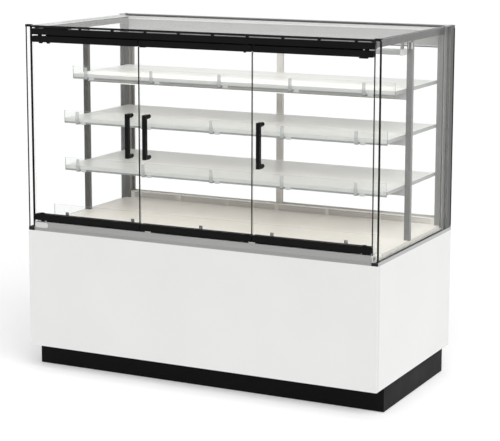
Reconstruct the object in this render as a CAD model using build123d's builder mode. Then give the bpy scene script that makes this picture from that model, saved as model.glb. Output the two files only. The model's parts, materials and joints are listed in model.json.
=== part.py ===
from build123d import *
import math
import os

# A glass-fronted refrigerated merchandiser. Millimetres, +Z up, the origin on the floor under
# the middle of the whole object, the doors facing -Y.

# Overall sizes
WIDTH = 1500.0
DEPTH = 765.0  # of the body, without the door handles
HEIGHT = 1382.0
KICK_TOP = 95.0
BASE_TOP = 565.0
KICK_SETBACK_FRONT = 76.0
KICK_SETBACK_REAR = 72.0

# Sheet-metal base
SHEET = 1.5
PANEL_T = 20.0  # depth of the folded edges of the white panels
REAR_PANEL_T = 10.0
REAR_PANEL_RECESS = 6.5
REAR_PANEL_RIM = 12.0
FRAME_TUBE = 30.0
TUBE_WALL = 2.0
PAN_T = 2.0
KICK_T = 2.0
KICK_FLANGE = 20.0
KICK_FLOOR_GAP = 3.0
EDGE_R = 2.0

# Feet and the runners that carry them
FOOT_R = 24.0
FOOT_PAD_H = 10.0
FOOT_STEM_R = 6.0
FOOT_STEM_GAP = 0.2
FOOT_NUT_H = 10.0
FOOT_INSET_X = 150.0
FOOT_INSET_Y = 130.0
RUNNER_W = 50.0
RUNNER_H = 35.0
RUNNER_WALL = 3.0
RUNNER_INSET = 100.0

# End glazing: two panes with a clear spacer between, seated in a channel
GLAZING_OUT = 3.0  # the outer pane's face, in from the side of the base
PANE_T = 4.0
PANE_GAP = 16.0
SPACER_W = 10.0
CHANNEL_H = 13.0
CHANNEL_WALL = 2.0
CHANNEL_FLOOR = 3.0
GASKET_T = 1.0
GASKET_BASE = 2.0
GASKET_H = 11.0
CAP_T = 3.0
CAP_TOP_H = 9.0
CAP_BOTTOM_H = 12.0
CAP_LEAF = 2.0
CAP_REACH = 14.0
POST_W = 26.0
POST_D = 47.0

# Inner frame beside each end glass
UPRIGHT_W = 22.0
UPRIGHT_D = 18.0
UPRIGHT_CLEAR = 1.5
MID_UPRIGHT_Y = 378.0  # from the front of the base
REAR_UPRIGHT_INSET = 57.0  # from the rear of the base to the upright's front
SIDE_RAIL_H = 25.0

# Glass top and header
TOP_GLASS_T = 6.0
TOP_GLASS_DROP = 10.0  # from the overall height to the pane's underside
TOP_TRIM_T = 3.0
TOP_SEAL_T = 1.3
BLOCK_GAP = 5.0
BLOCK_W = 8.0
BLOCK_D = 12.0
BLOCK_PITCH = 144.0
HEADER_H = 24.0
HEADER_D = 26.0
HEADER_SETBACK = 2.0

# Front doors
DOOR_COUNT = 3
DOOR_GAP = 4.0
DOOR_RUNNING_GAP = 5.0  # above and below the rails
DOOR_SETBACK = 3.0
RAIL_D = 22.0
TOP_RAIL_H = 24.0
BOTTOM_RAIL_H = 26.0
RAIL_CORNER_R = 5.0
DOOR_PANE_T = 6.0
DOOR_PANE_GRIP = 12.0
DOOR_PANE_EDGE = 1.0
DOOR_PANE_FORWARD = 2.0  # the pane sits this far in front of the rail's middle
PIVOT_INSET = 30.0
PIVOT_R = 4.0
PIVOT_CLEAR = 0.3
PIVOT_SEAT = 12.0
PIVOT_SEAT_GAP = 0.05
PIVOT_REACH = 8.0
PIVOT_COLLAR_R = 8.0
HANDLE_BAR = 15.0
HANDLE_LENGTH = 171.0
HANDLE_REACH = 34.0  # from the pane to the front of the bar
HANDLE_INSET = 36.0
HANDLE_BOSS_R = 7.5
HANDLE_BOSS_T = 3.0

# Sill, deck and well
SILL_H = 37.0
SILL_D = 44.0
SILL_SETBACK = 2.0
SILL_WALL = 3.0
SILL_END_GAP = 3.5
SILL_GROOVE = 1.5
SILL_GROOVE_HEIGHTS = (6.0, 11.0)
BADGE_W = 60.0
BADGE_H = 21.0
BADGE_T = 1.5
BADGE_R = 10.0
BADGE_INSET = 2.0
DECK_H = 20.0
DECK_SHEET = 1.5
DECK_PANS = 3
DECK_RIM_W = 20.0
DECK_GAP = 1.0
FLANGE_T = 3.0
WELL_WALL = 40.0
WELL_H = 240.0
GRILLE_W = 62.0
GRILLE_GAP = 1.0
GRILLE_PITCH = 16.0
GRILLE_SLOT = 9.0
RISER_D = 20.0
RISER_H = 47.0
RISER_OFFSET = 7.0  # behind the front of the rear uprights
RISER_GAP = 0.5
RISER_SLOTS = 3
RISER_SLOT_H = 4.0
RISER_SLOT_PITCH = 8.0
RISER_SLOT_W = 215.0
RISER_SLOT_STEP = 230.0
DUCT_H = 22.0

# Shelves: how far each stands above the deck, and its front edge behind the front of the base
SHELF_RISES = (214.0, 406.0, 579.0)
SHELF_SETBACKS = (200.0, 200.0, 268.0)
SHELF_T = 14.0
SHELF_REAR_GAP = 8.0  # between a shelf and the rear uprights
SHELF_SIDE_GAP = 0.5
BEAM_H = 29.0
HOOK_W = 10.0
HOOK_REACH = 12.0
FENCE_T = 4.0
FENCE_RISE = 32.0
FENCE_DROP = 20.0
DECK_FENCE_RISE = 68.0
DECK_FENCE_GAP = 2.0
CLIP_W = 14.0
CLIP_T = 2.0
CLIP_RISE = 27.5
CLIP_FIRST = 61.0
CLIP_PITCH = 303.4
CLIP_FOOT = 16.0
CLIP_FOOT_T = 3.0
DECK_CLIP_RISE = 38.0

# Lamps
LAMP_DROP = 57.0  # from the glass top
LAMP_H = 19.0
LAMP_D = 54.0
LAMP_GAP = 2.0
LAMP_EDGE_R = 3.0
DIFFUSER_T = 3.0
LAMP_BRACKET_W = 30.0
LAMP_BRACKET_T = 3.0

# Rear beam, tracks and sliding doors
REAR_BEAM_D = 22.0
REAR_BEAM_H = 77.0
REAR_BEAM_INSET = 31.0  # from the rear of the base
BEAM_LIP = 3.0
TRACK_D = 26.0
TRACK_GAP = 2.0
TRACK_BOTTOM_H = 35.0
TRACK_TOP_H = 47.0
TRACK_GROOVE = 8.5
TRACK_RIB = 4.0
TRACK_EDGE = 2.5
TRACK_GROOVE_DEPTH = 8.0
TRACK_TOP_GROOVE_DEPTH = 23.0
SLIDER_T = 7.5
SLIDER_CLEAR = 0.3
SLIDER_SIDE_GAP = 3.5
SLIDER_LAP = 28.0
SLIDER_STILE = 26.0
SLIDER_PANE_T = 4.0
SLIDER_PANE_GRIP = 6.0
SLIDER_LIFT = 15.0
PULL_W = 14.0
PULL_H = 120.0
PULL_DEPTH = 1.2

# Fans
EVAP_FAN_R = 78.0
EVAP_FAN_X = 260.0
EVAP_PLATE_Y = 330.0
COND_FAN_R = 92.0
FAN_TIP_GAP = 4.0
FAN_BLADE_T = 1.6
FAN_PITCH_DEG = 28.0
FAN_HUB_R = 24.0
FAN_HUB_L = 18.0
FAN_SHAFT_R = 3.0
FAN_SHAFT_GAP = 0.05
FAN_MOTOR_R = 28.0
FAN_MOTOR_L = 34.0
FAN_STANDOFF = 3.0
FAN_PLATE_T = 2.0

# Machine compartment
COMPRESSOR_X = -250.0
COMPRESSOR_Y = 430.0
COMPRESSOR_R = 75.0
COMPRESSOR_H = 165.0
COMPRESSOR_LIFT = 12.0
CONDENSER_X = (150.0, 450.0)
CONDENSER_Y = (575.0, 635.0)
CONDENSER_LIFT = 8.0
CONDENSER_H = 205.0
SHROUD_D = 10.0
EVAPORATOR_X = (-330.0, 330.0)
EVAPORATOR_Y = (440.0, 590.0)
EVAPORATOR_LIFT = 7.0
EVAPORATOR_H = 148.0
FIN_PITCH = 15.0
FIN_T = 1.0
COIL_TUBE_R = 5.0
COIL_ROW = 40.0
TRAY_X = (-600.0, -400.0)
TRAY_Y = (300.0, 600.0)
TRAY_H = 45.0
TRAY_WALL = 3.0
CONTROL_X = (500.0, 640.0)
CONTROL_Y = (560.0, 680.0)
CONTROL_H = 180.0
LINE_R = 4.0
LINE_HOLE_GAP = 0.5
LINE_BEND = 13.0
LINE_INSET = 40.0
LINE_RISER = 45.0
LINE_RISE = 80.0
DRIER_R = 11.0
DRIER_L = 90.0
LOUVRE_W = 42.0
LOUVRE_H = 6.0
LOUVRE_PITCH_X = 50.0
LOUVRE_PITCH_Z = 14.0
LOUVRE_COLUMNS = 6
LOUVRE_ROWS = 12
LOUVRE_CENTRES = (-330.0, 300.0)
LOUVRE_RISE = 115.0  # above the kick plates
THERMOSTAT_X = 620.0
SWITCH_X = 520.0
CONTROLS_DROP = 125.0  # below the top of the base
THERMOSTAT_FACE = (78.0, 36.0)
THERMOSTAT_BODY = (70.0, 28.0)
SWITCH_FACE = (30.0, 22.0)
SWITCH_OPENING = (22.0, 14.0)
ROCKER_DEG = 8.0
BEZEL_T = 2.5
CUT_OUT_GAP = 1.0
SCREW_R = 5.0
SCREW_H = 3.0
GLAND_R = 10.0
GLAND_X = 560.0
GLAND_INSET = 55.0

# Places worked out from the sizes above
PANE_OFFSET = DOOR_SETBACK + (RAIL_D - DOOR_PANE_T) / 2 - DOOR_PANE_FORWARD
HANDLE_PROUD = HANDLE_REACH - PANE_OFFSET
FRONT = -(DEPTH + HANDLE_PROUD) / 2 + HANDLE_PROUD
REAR = FRONT + DEPTH
HALF = WIDTH / 2
CHANNEL_W = 2 * (CHANNEL_WALL + GASKET_T + PANE_T) + PANE_GAP
GLASS_OUT = HALF - GLAZING_OUT
GLASS_IN = GLASS_OUT - 2 * PANE_T - PANE_GAP
GLASS_FRONT = FRONT + CAP_T
GLASS_REAR = REAR - POST_D
GASKET_BOTTOM = BASE_TOP + CHANNEL_FLOOR
GLASS_BOTTOM = GASKET_BOTTOM + GASKET_BASE
GLASS_TOP = HEIGHT - CAP_LEAF
FRAME_OUT = GLASS_IN - UPRIGHT_CLEAR
FRAME_IN = FRAME_OUT - UPRIGHT_W
MID_UPRIGHT = (FRONT + MID_UPRIGHT_Y, FRONT + MID_UPRIGHT_Y + UPRIGHT_D)
REAR_UPRIGHT = (REAR - REAR_UPRIGHT_INSET, REAR - REAR_UPRIGHT_INSET + UPRIGHT_D)
TOP_GLASS_Z = HEIGHT - TOP_GLASS_DROP
HEADER_TOP = TOP_GLASS_Z - BLOCK_GAP
HEADER_BOTTOM = HEADER_TOP - HEADER_H
SIDE_RAIL_BOTTOM = TOP_GLASS_Z - SIDE_RAIL_H
REAR_BEAM = (REAR - REAR_BEAM_INSET - REAR_BEAM_D, REAR - REAR_BEAM_INSET)
REAR_BEAM_BOTTOM = TOP_GLASS_Z - REAR_BEAM_H
TRACK_Y = (REAR_BEAM[1] + TRACK_GAP, REAR_BEAM[1] + TRACK_GAP + TRACK_D)
TRACK_HALF = GLASS_IN - 0.5
SILL_TOP = BASE_TOP + SILL_H
SILL_HALF = GLASS_IN - SILL_END_GAP
SILL_Y = (FRONT + SILL_SETBACK, FRONT + SILL_SETBACK + SILL_D)
DOOR_BOTTOM = SILL_TOP + DOOR_RUNNING_GAP
DOOR_TOP = HEADER_BOTTOM - DOOR_RUNNING_GAP
DOOR_SPAN = 2 * (GLASS_IN - DOOR_GAP)
DOOR_W = (DOOR_SPAN - (DOOR_COUNT - 1) * DOOR_GAP) / DOOR_COUNT
DOOR_LEFTS = [-DOOR_SPAN / 2 + i * (DOOR_W + DOOR_GAP) for i in range(DOOR_COUNT)]
DOOR_NAMES = ("left", "centre", "right")
HINGE_SIDES = (-1, 1, 1)  # the first door is hung at its left, the other two at their right
RAIL_Y = (FRONT + DOOR_SETBACK, FRONT + DOOR_SETBACK + RAIL_D)
PIVOT_Y = (RAIL_Y[0] + RAIL_Y[1]) / 2
DOOR_PANE_Y = (FRONT + PANE_OFFSET, FRONT + PANE_OFFSET + DOOR_PANE_T)
FLANGE_TOP = BASE_TOP + FLANGE_T
DECK_Z = FLANGE_TOP + DECK_H
GRILLE_Y = (SILL_Y[1] + GRILLE_GAP, SILL_Y[1] + GRILLE_GAP + GRILLE_W)
DECK_FENCE_Y = GRILLE_Y[1] + GRILLE_GAP + CLIP_T
DECK_FRONT = DECK_FENCE_Y + FENCE_T + DECK_FENCE_GAP
RISER_Y = (REAR_UPRIGHT[0] + RISER_OFFSET, REAR_UPRIGHT[0] + RISER_OFFSET + RISER_D)
RISER_TOP = FLANGE_TOP + RISER_H
DECK_REAR = RISER_Y[0] - RISER_GAP
SHELF_TOPS = [DECK_Z + rise for rise in SHELF_RISES]
SHELF_REAR = REAR_UPRIGHT[0] - SHELF_REAR_GAP
SHELF_HALF = FRAME_IN - SHELF_SIDE_GAP
LAMP_TOP = TOP_GLASS_Z - LAMP_DROP
WELL_X = HALF - PANEL_T - FRAME_TUBE
WELL_Y = (FRONT + PANEL_T + FRAME_TUBE, REAR - REAR_PANEL_T - FRAME_TUBE)
WELL_BOTTOM = BASE_TOP - WELL_H
WELL_FLOOR = WELL_BOTTOM + WELL_WALL
PAN_TOP = KICK_TOP + PAN_T
REAR_SHEET_Y = REAR - REAR_PANEL_RECESS  # the rear face of the rear panel's sheet
CONTROLS_Z = BASE_TOP - CONTROLS_DROP
EVAPORATOR_Z = (WELL_FLOOR + EVAPORATOR_LIFT, WELL_FLOOR + EVAPORATOR_LIFT + EVAPORATOR_H)
CONDENSER_Z = (PAN_TOP + CONDENSER_LIFT, PAN_TOP + CONDENSER_LIFT + CONDENSER_H)
EVAP_FAN_Z = (WELL_FLOOR + FLANGE_TOP) / 2
COND_FAN_X = (CONDENSER_X[0] + CONDENSER_X[1]) / 2
COND_FAN_Z = (CONDENSER_Z[0] + CONDENSER_Z[1]) / 2
COND_PLATE_Y = FRONT + CONDENSER_Y[1] + FAN_PLATE_T / 2 + SHROUD_D

os.makedirs("parts", exist_ok=True)


def save(label, *solids):
    """Write one named piece, or one group of like pieces, to its own file."""
    node = solids[0] if len(solids) == 1 else Compound([s for part in solids for s in part.solids()])
    node.label = label
    export_step(node, f"parts/{label}.step")


def block(x, y, z, mode=Mode.ADD):
    """Add, or cut, the box between two limits on each axis."""
    with Locations((x[0], y[0], z[0])):
        Box(x[1] - x[0], y[1] - y[0], z[1] - z[0], align=(Align.MIN, Align.MIN, Align.MIN), mode=mode)


def plain(x, y, z):
    """A separate plain bar, plate or pane."""
    with BuildPart() as piece:
        block(x, y, z)
    return piece.part


def tube(x, y, z, wall=TUBE_WALL):
    """A separate square tube, open along the longest of its three sides."""
    limits = (x, y, z)
    longest = max(limits, key=lambda limit: limit[1] - limit[0])
    hollow = [limit if limit is longest else (limit[0] + wall, limit[1] - wall) for limit in limits]
    with BuildPart() as piece:
        block(*limits)
        block(*hollow, mode=Mode.SUBTRACT)
    return piece.part


def sided(side, inner, outer):
    """The limits on X of something between two distances out from the middle, on one side."""
    return (inner, outer) if side > 0 else (-outer, -inner)


def off(y):
    """The limits on Y of something placed from the front of the base."""
    return (FRONT + y[0], FRONT + y[1])


SIDES = (-1, 1)


# Base frame: corner posts, top rails, runners and the floor pan
def base_frame():
    post_x = (HALF - PANEL_T - FRAME_TUBE, HALF - PANEL_T)
    post_ys = ((FRONT + PANEL_T, WELL_Y[0]), (WELL_Y[1], REAR - REAR_PANEL_T))
    rail_z = (BASE_TOP - FRAME_TUBE, BASE_TOP)
    solids = [tube(sided(s, *post_x), y, (PAN_TOP, BASE_TOP)) for s in SIDES for y in post_ys]
    solids += [tube((-WELL_X, WELL_X), y, rail_z) for y in post_ys]
    solids += [tube(sided(s, *post_x), WELL_Y, rail_z) for s in SIDES]
    for side in SIDES:
        centre = side * (HALF - FOOT_INSET_X)
        runner_x = (centre - RUNNER_W / 2, centre + RUNNER_W / 2)
        runner_y = (FRONT + RUNNER_INSET, REAR - RUNNER_INSET)
        with BuildPart() as runner:
            block(runner_x, runner_y, (KICK_TOP - RUNNER_H, KICK_TOP))
            block((runner_x[0] + RUNNER_WALL, runner_x[1] - RUNNER_WALL), runner_y,
                  (KICK_TOP - RUNNER_H + RUNNER_WALL, KICK_TOP - RUNNER_WALL), mode=Mode.SUBTRACT)
            with Locations(*[(centre, y, KICK_TOP) for y in foot_ys()]):
                Hole(FOOT_STEM_R + FOOT_STEM_GAP)
        solids.append(runner.part)
    with BuildPart() as floor_pan:
        block((-HALF + PANEL_T, HALF - PANEL_T), (FRONT + PANEL_T, REAR - REAR_PANEL_T), (KICK_TOP, PAN_TOP))
        with Locations((GLAND_X, REAR - GLAND_INSET, PAN_TOP)):
            Hole(GLAND_R + LINE_HOLE_GAP)
    solids.append(floor_pan.part)
    save("base_frame", *solids)


def foot_ys():
    """Where the feet stand from front to rear."""
    return (FRONT + FOOT_INSET_Y, REAR - FOOT_INSET_Y)


def levelling_feet():
    nut_z = KICK_TOP - RUNNER_H - FOOT_NUT_H
    stem_top = KICK_TOP - FOOT_STEM_R
    spots = [(side * (HALF - FOOT_INSET_X), y) for side in SIDES for y in foot_ys()]
    with BuildPart() as feet:
        with BuildSketch(Plane.XY):
            with Locations(*spots):
                Circle(FOOT_R)
        extrude(amount=FOOT_PAD_H)
        chamfer(feet.edges().group_by(Axis.Z)[-1], 2.5)
        with BuildSketch(Plane.XY.offset(FOOT_PAD_H)):
            with Locations(*spots):
                Circle(FOOT_STEM_R)
        extrude(amount=stem_top - FOOT_PAD_H)
        with BuildSketch(Plane.XY.offset(nut_z)):
            with Locations(*spots):
                RegularPolygon(FOOT_STEM_R * 1.7, 6)
        extrude(amount=FOOT_NUT_H)
    save("levelling_feet", feet.part)


def kick_plates():
    z = (KICK_FLOOR_GAP, KICK_TOP)
    reach = HALF - 1.0
    front_y = FRONT + KICK_SETBACK_FRONT
    rear_y = REAR - KICK_SETBACK_REAR
    flange_z = (KICK_TOP - KICK_T, KICK_TOP)
    flange_x = (-reach + 1.5 * KICK_T, reach - 1.5 * KICK_T)
    with BuildPart() as front:
        block((-reach, reach), (front_y, front_y + KICK_T), z)
        block(flange_x, (front_y + KICK_T, front_y + KICK_FLANGE), flange_z)
    with BuildPart() as rear:
        block((-reach, reach), (rear_y - KICK_T, rear_y), z)
        block(flange_x, (rear_y - KICK_FLANGE, rear_y - KICK_T), flange_z)
    ends = [plain(sided(s, reach - KICK_T, reach), (front_y + KICK_T, rear_y - KICK_T), z) for s in SIDES]
    save("kick_plates", front.part, rear.part, *ends)


# White panels
def front_panel():
    with BuildPart() as panel:
        block((-HALF, HALF), (FRONT, FRONT + PANEL_T), (KICK_TOP, BASE_TOP))
        fillet(panel.edges().filter_by(Axis.Z).group_by(Axis.Y)[0], EDGE_R)
        block((-HALF + SHEET, HALF - SHEET), (FRONT + SHEET, FRONT + PANEL_T),
              (KICK_TOP + SHEET, BASE_TOP - SHEET), mode=Mode.SUBTRACT)
    save("front_panel", panel.part)


def side_panels():
    y = (FRONT + PANEL_T + 0.5, REAR - REAR_PANEL_T - 0.5)
    panels = []
    for side in SIDES:
        with BuildPart() as panel:
            block(sided(side, HALF - PANEL_T, HALF), y, (KICK_TOP, BASE_TOP))
            block(sided(side, HALF - PANEL_T, HALF - SHEET), (y[0] + SHEET, y[1] - SHEET),
                  (KICK_TOP + SHEET, BASE_TOP - SHEET), mode=Mode.SUBTRACT)
        panels.append(panel.part)
    save("side_panels", *panels)


def rear_panel():
    face_z = (KICK_TOP + REAR_PANEL_RIM, BASE_TOP - REAR_PANEL_RIM)
    face_x = (-HALF + REAR_PANEL_RIM, HALF - REAR_PANEL_RIM)
    sheet_front = REAR_SHEET_Y - SHEET
    with BuildPart() as panel:
        block((-HALF, HALF), (REAR - REAR_PANEL_T, REAR), (KICK_TOP, BASE_TOP))
        block(face_x, (REAR_SHEET_Y, REAR), face_z, mode=Mode.SUBTRACT)
        block(face_x, (REAR - REAR_PANEL_T, sheet_front), face_z, mode=Mode.SUBTRACT)
        for x in LOUVRE_CENTRES:
            with BuildSketch(Plane.XZ.offset(-REAR_SHEET_Y)):
                with Locations((x, KICK_TOP + LOUVRE_RISE)):
                    with GridLocations(LOUVRE_PITCH_X, LOUVRE_PITCH_Z, LOUVRE_COLUMNS, LOUVRE_ROWS):
                        SlotOverall(LOUVRE_W, LOUVRE_H)
            extrude(amount=SHEET, mode=Mode.SUBTRACT)
        for x, opening in ((THERMOSTAT_X, THERMOSTAT_BODY), (SWITCH_X, SWITCH_OPENING)):
            with BuildSketch(Plane.XZ.offset(-REAR_SHEET_Y)):
                with Locations((x, CONTROLS_Z)):
                    Rectangle(opening[0] + CUT_OUT_GAP, opening[1] + CUT_OUT_GAP)
            extrude(amount=SHEET, mode=Mode.SUBTRACT)
    save("rear_panel", panel.part)


def panel_screws():
    """Pan-head screws round the rear panel's sheet."""
    inset = REAR_PANEL_RIM + 12.0
    xs = [-HALF + inset + i * (WIDTH - 2 * inset) / 4 for i in range(5)]
    zs = (KICK_TOP + inset, BASE_TOP - inset)
    with BuildPart() as screws:
        with BuildSketch(Plane.XZ.offset(-REAR_SHEET_Y)):
            with Locations(*[(x, z) for x in xs for z in zs]):
                Circle(SCREW_R)
        extrude(amount=-SCREW_H)
        fillet(screws.edges().group_by(Axis.Y)[-1], 1.5)
    save("panel_screws", screws.part)


# Insulated well, deck, sill
def insulated_well():
    holes = [(EVAPORATOR_X[1] + LINE_RISER, FRONT + y)
             for y in (EVAPORATOR_Y[0] + LINE_INSET, EVAPORATOR_Y[1] - LINE_INSET)]
    with BuildPart() as well:
        block((-WELL_X, WELL_X), WELL_Y, (WELL_BOTTOM, BASE_TOP))
        block((-SILL_HALF, SILL_HALF), (SILL_Y[1] + GRILLE_GAP / 2, REAR_BEAM[1] + TRACK_GAP / 2),
              (BASE_TOP, FLANGE_TOP))
        block((-WELL_X + WELL_WALL, WELL_X - WELL_WALL), (WELL_Y[0] + WELL_WALL, WELL_Y[1] - WELL_WALL),
              (WELL_FLOOR, FLANGE_TOP), mode=Mode.SUBTRACT)
        block((-WELL_X + 1.5 * WELL_WALL, WELL_X - 1.5 * WELL_WALL),
              (WELL_Y[1] - WELL_WALL, WELL_Y[1] - FLANGE_T),
              (FLANGE_TOP - DUCT_H, FLANGE_TOP), mode=Mode.SUBTRACT)
        with Locations(*[(x, y, WELL_BOTTOM) for x, y in holes]):
            Cylinder(LINE_R + LINE_HOLE_GAP, 3 * WELL_WALL, mode=Mode.SUBTRACT)
    save("insulated_well", well.part)


def folded_tray(x, y, z, sheet):
    """A sheet with its four edges folded down."""
    with BuildPart() as tray:
        block(x, y, z)
        block((x[0] + sheet, x[1] - sheet), (y[0] + sheet, y[1] - sheet), (z[0], z[1] - sheet),
              mode=Mode.SUBTRACT)
    return tray.part


def deck_panels():
    rim_in = SILL_HALF - DECK_RIM_W
    y = (DECK_FRONT, DECK_REAR)
    z = (FLANGE_TOP, DECK_Z)
    pan_w = (2 * rim_in - (DECK_PANS + 1) * DECK_GAP) / DECK_PANS
    pieces = []
    for i in range(DECK_PANS):
        left = -rim_in + DECK_GAP + i * (pan_w + DECK_GAP)
        pieces.append(folded_tray((left, left + pan_w), y, z, DECK_SHEET))
    pieces += [folded_tray(sided(s, rim_in, SILL_HALF), y, z, DECK_SHEET) for s in SIDES]
    save("deck_panels", *pieces)


def front_sill():
    y = SILL_Y
    with BuildPart() as sill:
        block((-SILL_HALF, SILL_HALF), y, (BASE_TOP, SILL_TOP))
        fillet(sill.edges().filter_by(Axis.X).group_by(Axis.Z)[-1].sort_by(Axis.Y)[0], EDGE_R)
        block((-SILL_HALF, SILL_HALF), (y[0] + SILL_WALL, y[1] - SILL_WALL), (BASE_TOP, SILL_TOP - SILL_WALL),
              mode=Mode.SUBTRACT)
        for height in SILL_GROOVE_HEIGHTS:
            block((-SILL_HALF, SILL_HALF), (y[0], y[0] + SILL_GROOVE),
                  (BASE_TOP + height, BASE_TOP + height + SILL_GROOVE), mode=Mode.SUBTRACT)
        with Locations(*[(x, PIVOT_Y, SILL_TOP) for x in pivot_xs()]):
            Cylinder(PIVOT_R + PIVOT_CLEAR, 3 * SILL_WALL, mode=Mode.SUBTRACT)
    save("front_sill", sill.part)


def badge_plate():
    """A bare rounded plate at the left end of the sill."""
    centre = (-SILL_HALF + BADGE_INSET + BADGE_W / 2, SILL_TOP - 1.5 * BADGE_INSET - BADGE_H / 2)
    with BuildPart() as badge:
        with BuildSketch(Plane.XZ.offset(-SILL_Y[0])):
            with Locations(centre):
                RectangleRounded(BADGE_W, BADGE_H, BADGE_R)
        extrude(amount=BADGE_T)
    save("badge_plate", badge.part)


def front_air_grille():
    y = GRILLE_Y
    count = int(2 * (SILL_HALF - 10.0) // GRILLE_PITCH)
    with BuildPart() as grille:
        block((-SILL_HALF, SILL_HALF), y, (FLANGE_TOP, DECK_Z))
        block((-SILL_HALF + SHEET, SILL_HALF - SHEET), (y[0] + SHEET, y[1] - SHEET),
              (FLANGE_TOP, DECK_Z - SHEET), mode=Mode.SUBTRACT)
        with BuildSketch(Plane.XY.offset(DECK_Z)):
            with Locations((0, (y[0] + y[1]) / 2)):
                with GridLocations(GRILLE_PITCH, 1.0, count, 1):
                    SlotOverall(y[1] - y[0] - 16.0, GRILLE_SLOT, rotation=90)
        extrude(amount=-SHEET, mode=Mode.SUBTRACT)
    save("front_air_grille", grille.part)


def rear_riser():
    wall = 2 * SHEET
    middle = (DECK_Z + RISER_TOP) / 2
    count = int(2 * SHELF_HALF // RISER_SLOT_STEP)
    with BuildPart() as riser:
        block((-SHELF_HALF, SHELF_HALF), RISER_Y, (FLANGE_TOP, RISER_TOP))
        block((-SHELF_HALF, SHELF_HALF), (RISER_Y[0] + wall, RISER_Y[1] - wall),
              (FLANGE_TOP, RISER_TOP - wall), mode=Mode.SUBTRACT)
        with BuildSketch(Plane.XZ.offset(-RISER_Y[0])):
            with Locations((0, middle)):
                with GridLocations(RISER_SLOT_STEP, RISER_SLOT_PITCH, count, RISER_SLOTS):
                    Rectangle(RISER_SLOT_W, RISER_SLOT_H)
        extrude(amount=-wall, mode=Mode.SUBTRACT)
    save("rear_riser", riser.part)


# End glazing
def glazing_channels():
    channels = []
    groove = (HALF - CHANNEL_W + CHANNEL_WALL, HALF - CHANNEL_WALL)
    for side in SIDES:
        with BuildPart() as channel:
            block(sided(side, HALF - CHANNEL_W, HALF), (GLASS_FRONT, REAR), (BASE_TOP, BASE_TOP + CHANNEL_H))
            block(sided(side, *groove), (GLASS_FRONT, REAR), (GASKET_BOTTOM, BASE_TOP + CHANNEL_H),
                  mode=Mode.SUBTRACT)
            block(sided(side, HALF - 0.6, HALF), (GLASS_FRONT, REAR), (BASE_TOP + 5.5, BASE_TOP + 6.5),
                  mode=Mode.SUBTRACT)
        channels.append(channel.part)
    save("glazing_channels", *channels)


def glazing_gaskets():
    gaskets = []
    for side in SIDES:
        with BuildPart() as gasket:
            block(sided(side, GLASS_IN - GASKET_T, GLASS_OUT + GASKET_T), (GLASS_FRONT, GLASS_REAR),
                  (GASKET_BOTTOM, GASKET_BOTTOM + GASKET_H))
            block(sided(side, GLASS_IN, GLASS_OUT), (GLASS_FRONT, GLASS_REAR),
                  (GLASS_BOTTOM, GASKET_BOTTOM + GASKET_H), mode=Mode.SUBTRACT)
        gaskets.append(gasket.part)
    save("glazing_gaskets", *gaskets)


def end_glass():
    """Each unit: two panes and the four clear strips that hold them apart."""
    y = (GLASS_FRONT, GLASS_REAR)
    z = (GLASS_BOTTOM, GLASS_TOP)
    inner_z = (GLASS_BOTTOM + SPACER_W, GLASS_TOP - SPACER_W)
    solids = []
    for side in SIDES:
        gap = sided(side, GLASS_IN + PANE_T, GLASS_OUT - PANE_T)
        solids.append(plain(sided(side, GLASS_OUT - PANE_T, GLASS_OUT), y, z))
        solids.append(plain(sided(side, GLASS_IN, GLASS_IN + PANE_T), y, z))
        solids.append(plain(gap, (y[0], y[0] + SPACER_W), inner_z))
        solids.append(plain(gap, (y[1] - SPACER_W, y[1]), inner_z))
        solids.append(plain(gap, y, (z[0], inner_z[0])))
        solids.append(plain(gap, y, (inner_z[1], z[1])))
    save("end_glass", *solids)


def corner_caps():
    caps = []
    for side in SIDES:
        x = sided(side, GLASS_IN - 0.5, GLASS_OUT + 0.5)
        with BuildPart() as top_front:
            block(x, (FRONT, GLASS_FRONT), (HEIGHT - CAP_TOP_H, HEIGHT))
            block(x, (GLASS_FRONT, GLASS_FRONT + CAP_REACH), (GLASS_TOP, HEIGHT))
        caps.append(top_front.part)
        caps.append(plain(x, (GLASS_REAR - CAP_REACH, GLASS_REAR), (GLASS_TOP, HEIGHT)))
        caps.append(plain(x, (FRONT, GLASS_FRONT), (BASE_TOP, BASE_TOP + CAP_BOTTOM_H)))
    save("corner_caps", *caps)


# Inner frame, header and glass top
def side_frames():
    solids = []
    for side in SIDES:
        x = sided(side, FRAME_IN, FRAME_OUT)
        rail_y = (FRONT + HEADER_SETBACK + HEADER_D, REAR_BEAM[1])
        solids.append(tube(x, rail_y, (SIDE_RAIL_BOTTOM, TOP_GLASS_Z)))
        for y in (MID_UPRIGHT, REAR_UPRIGHT):
            solids.append(tube(x, y, (DECK_Z, SIDE_RAIL_BOTTOM)))
    save("side_frames", *solids)


def rear_corner_posts():
    channel_top = BASE_TOP + CHANNEL_H
    posts = []
    for side in SIDES:
        with BuildPart() as post:
            block(sided(side, GLASS_IN, GLASS_IN + POST_W), (GLASS_REAR, REAR), (channel_top, HEIGHT))
            block(sided(side, GLASS_IN, GLASS_OUT), (GLASS_REAR, REAR), (GASKET_BOTTOM, channel_top))
            outer = post.faces().filter_by(Axis.X).sort_by(Axis.X)[-1 if side > 0 else 0]
            fillet(outer.edges().filter_by(Axis.Z).sort_by(Axis.Y)[-1], EDGE_R)
        posts.append(post.part)
    save("rear_corner_posts", *posts)


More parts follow.
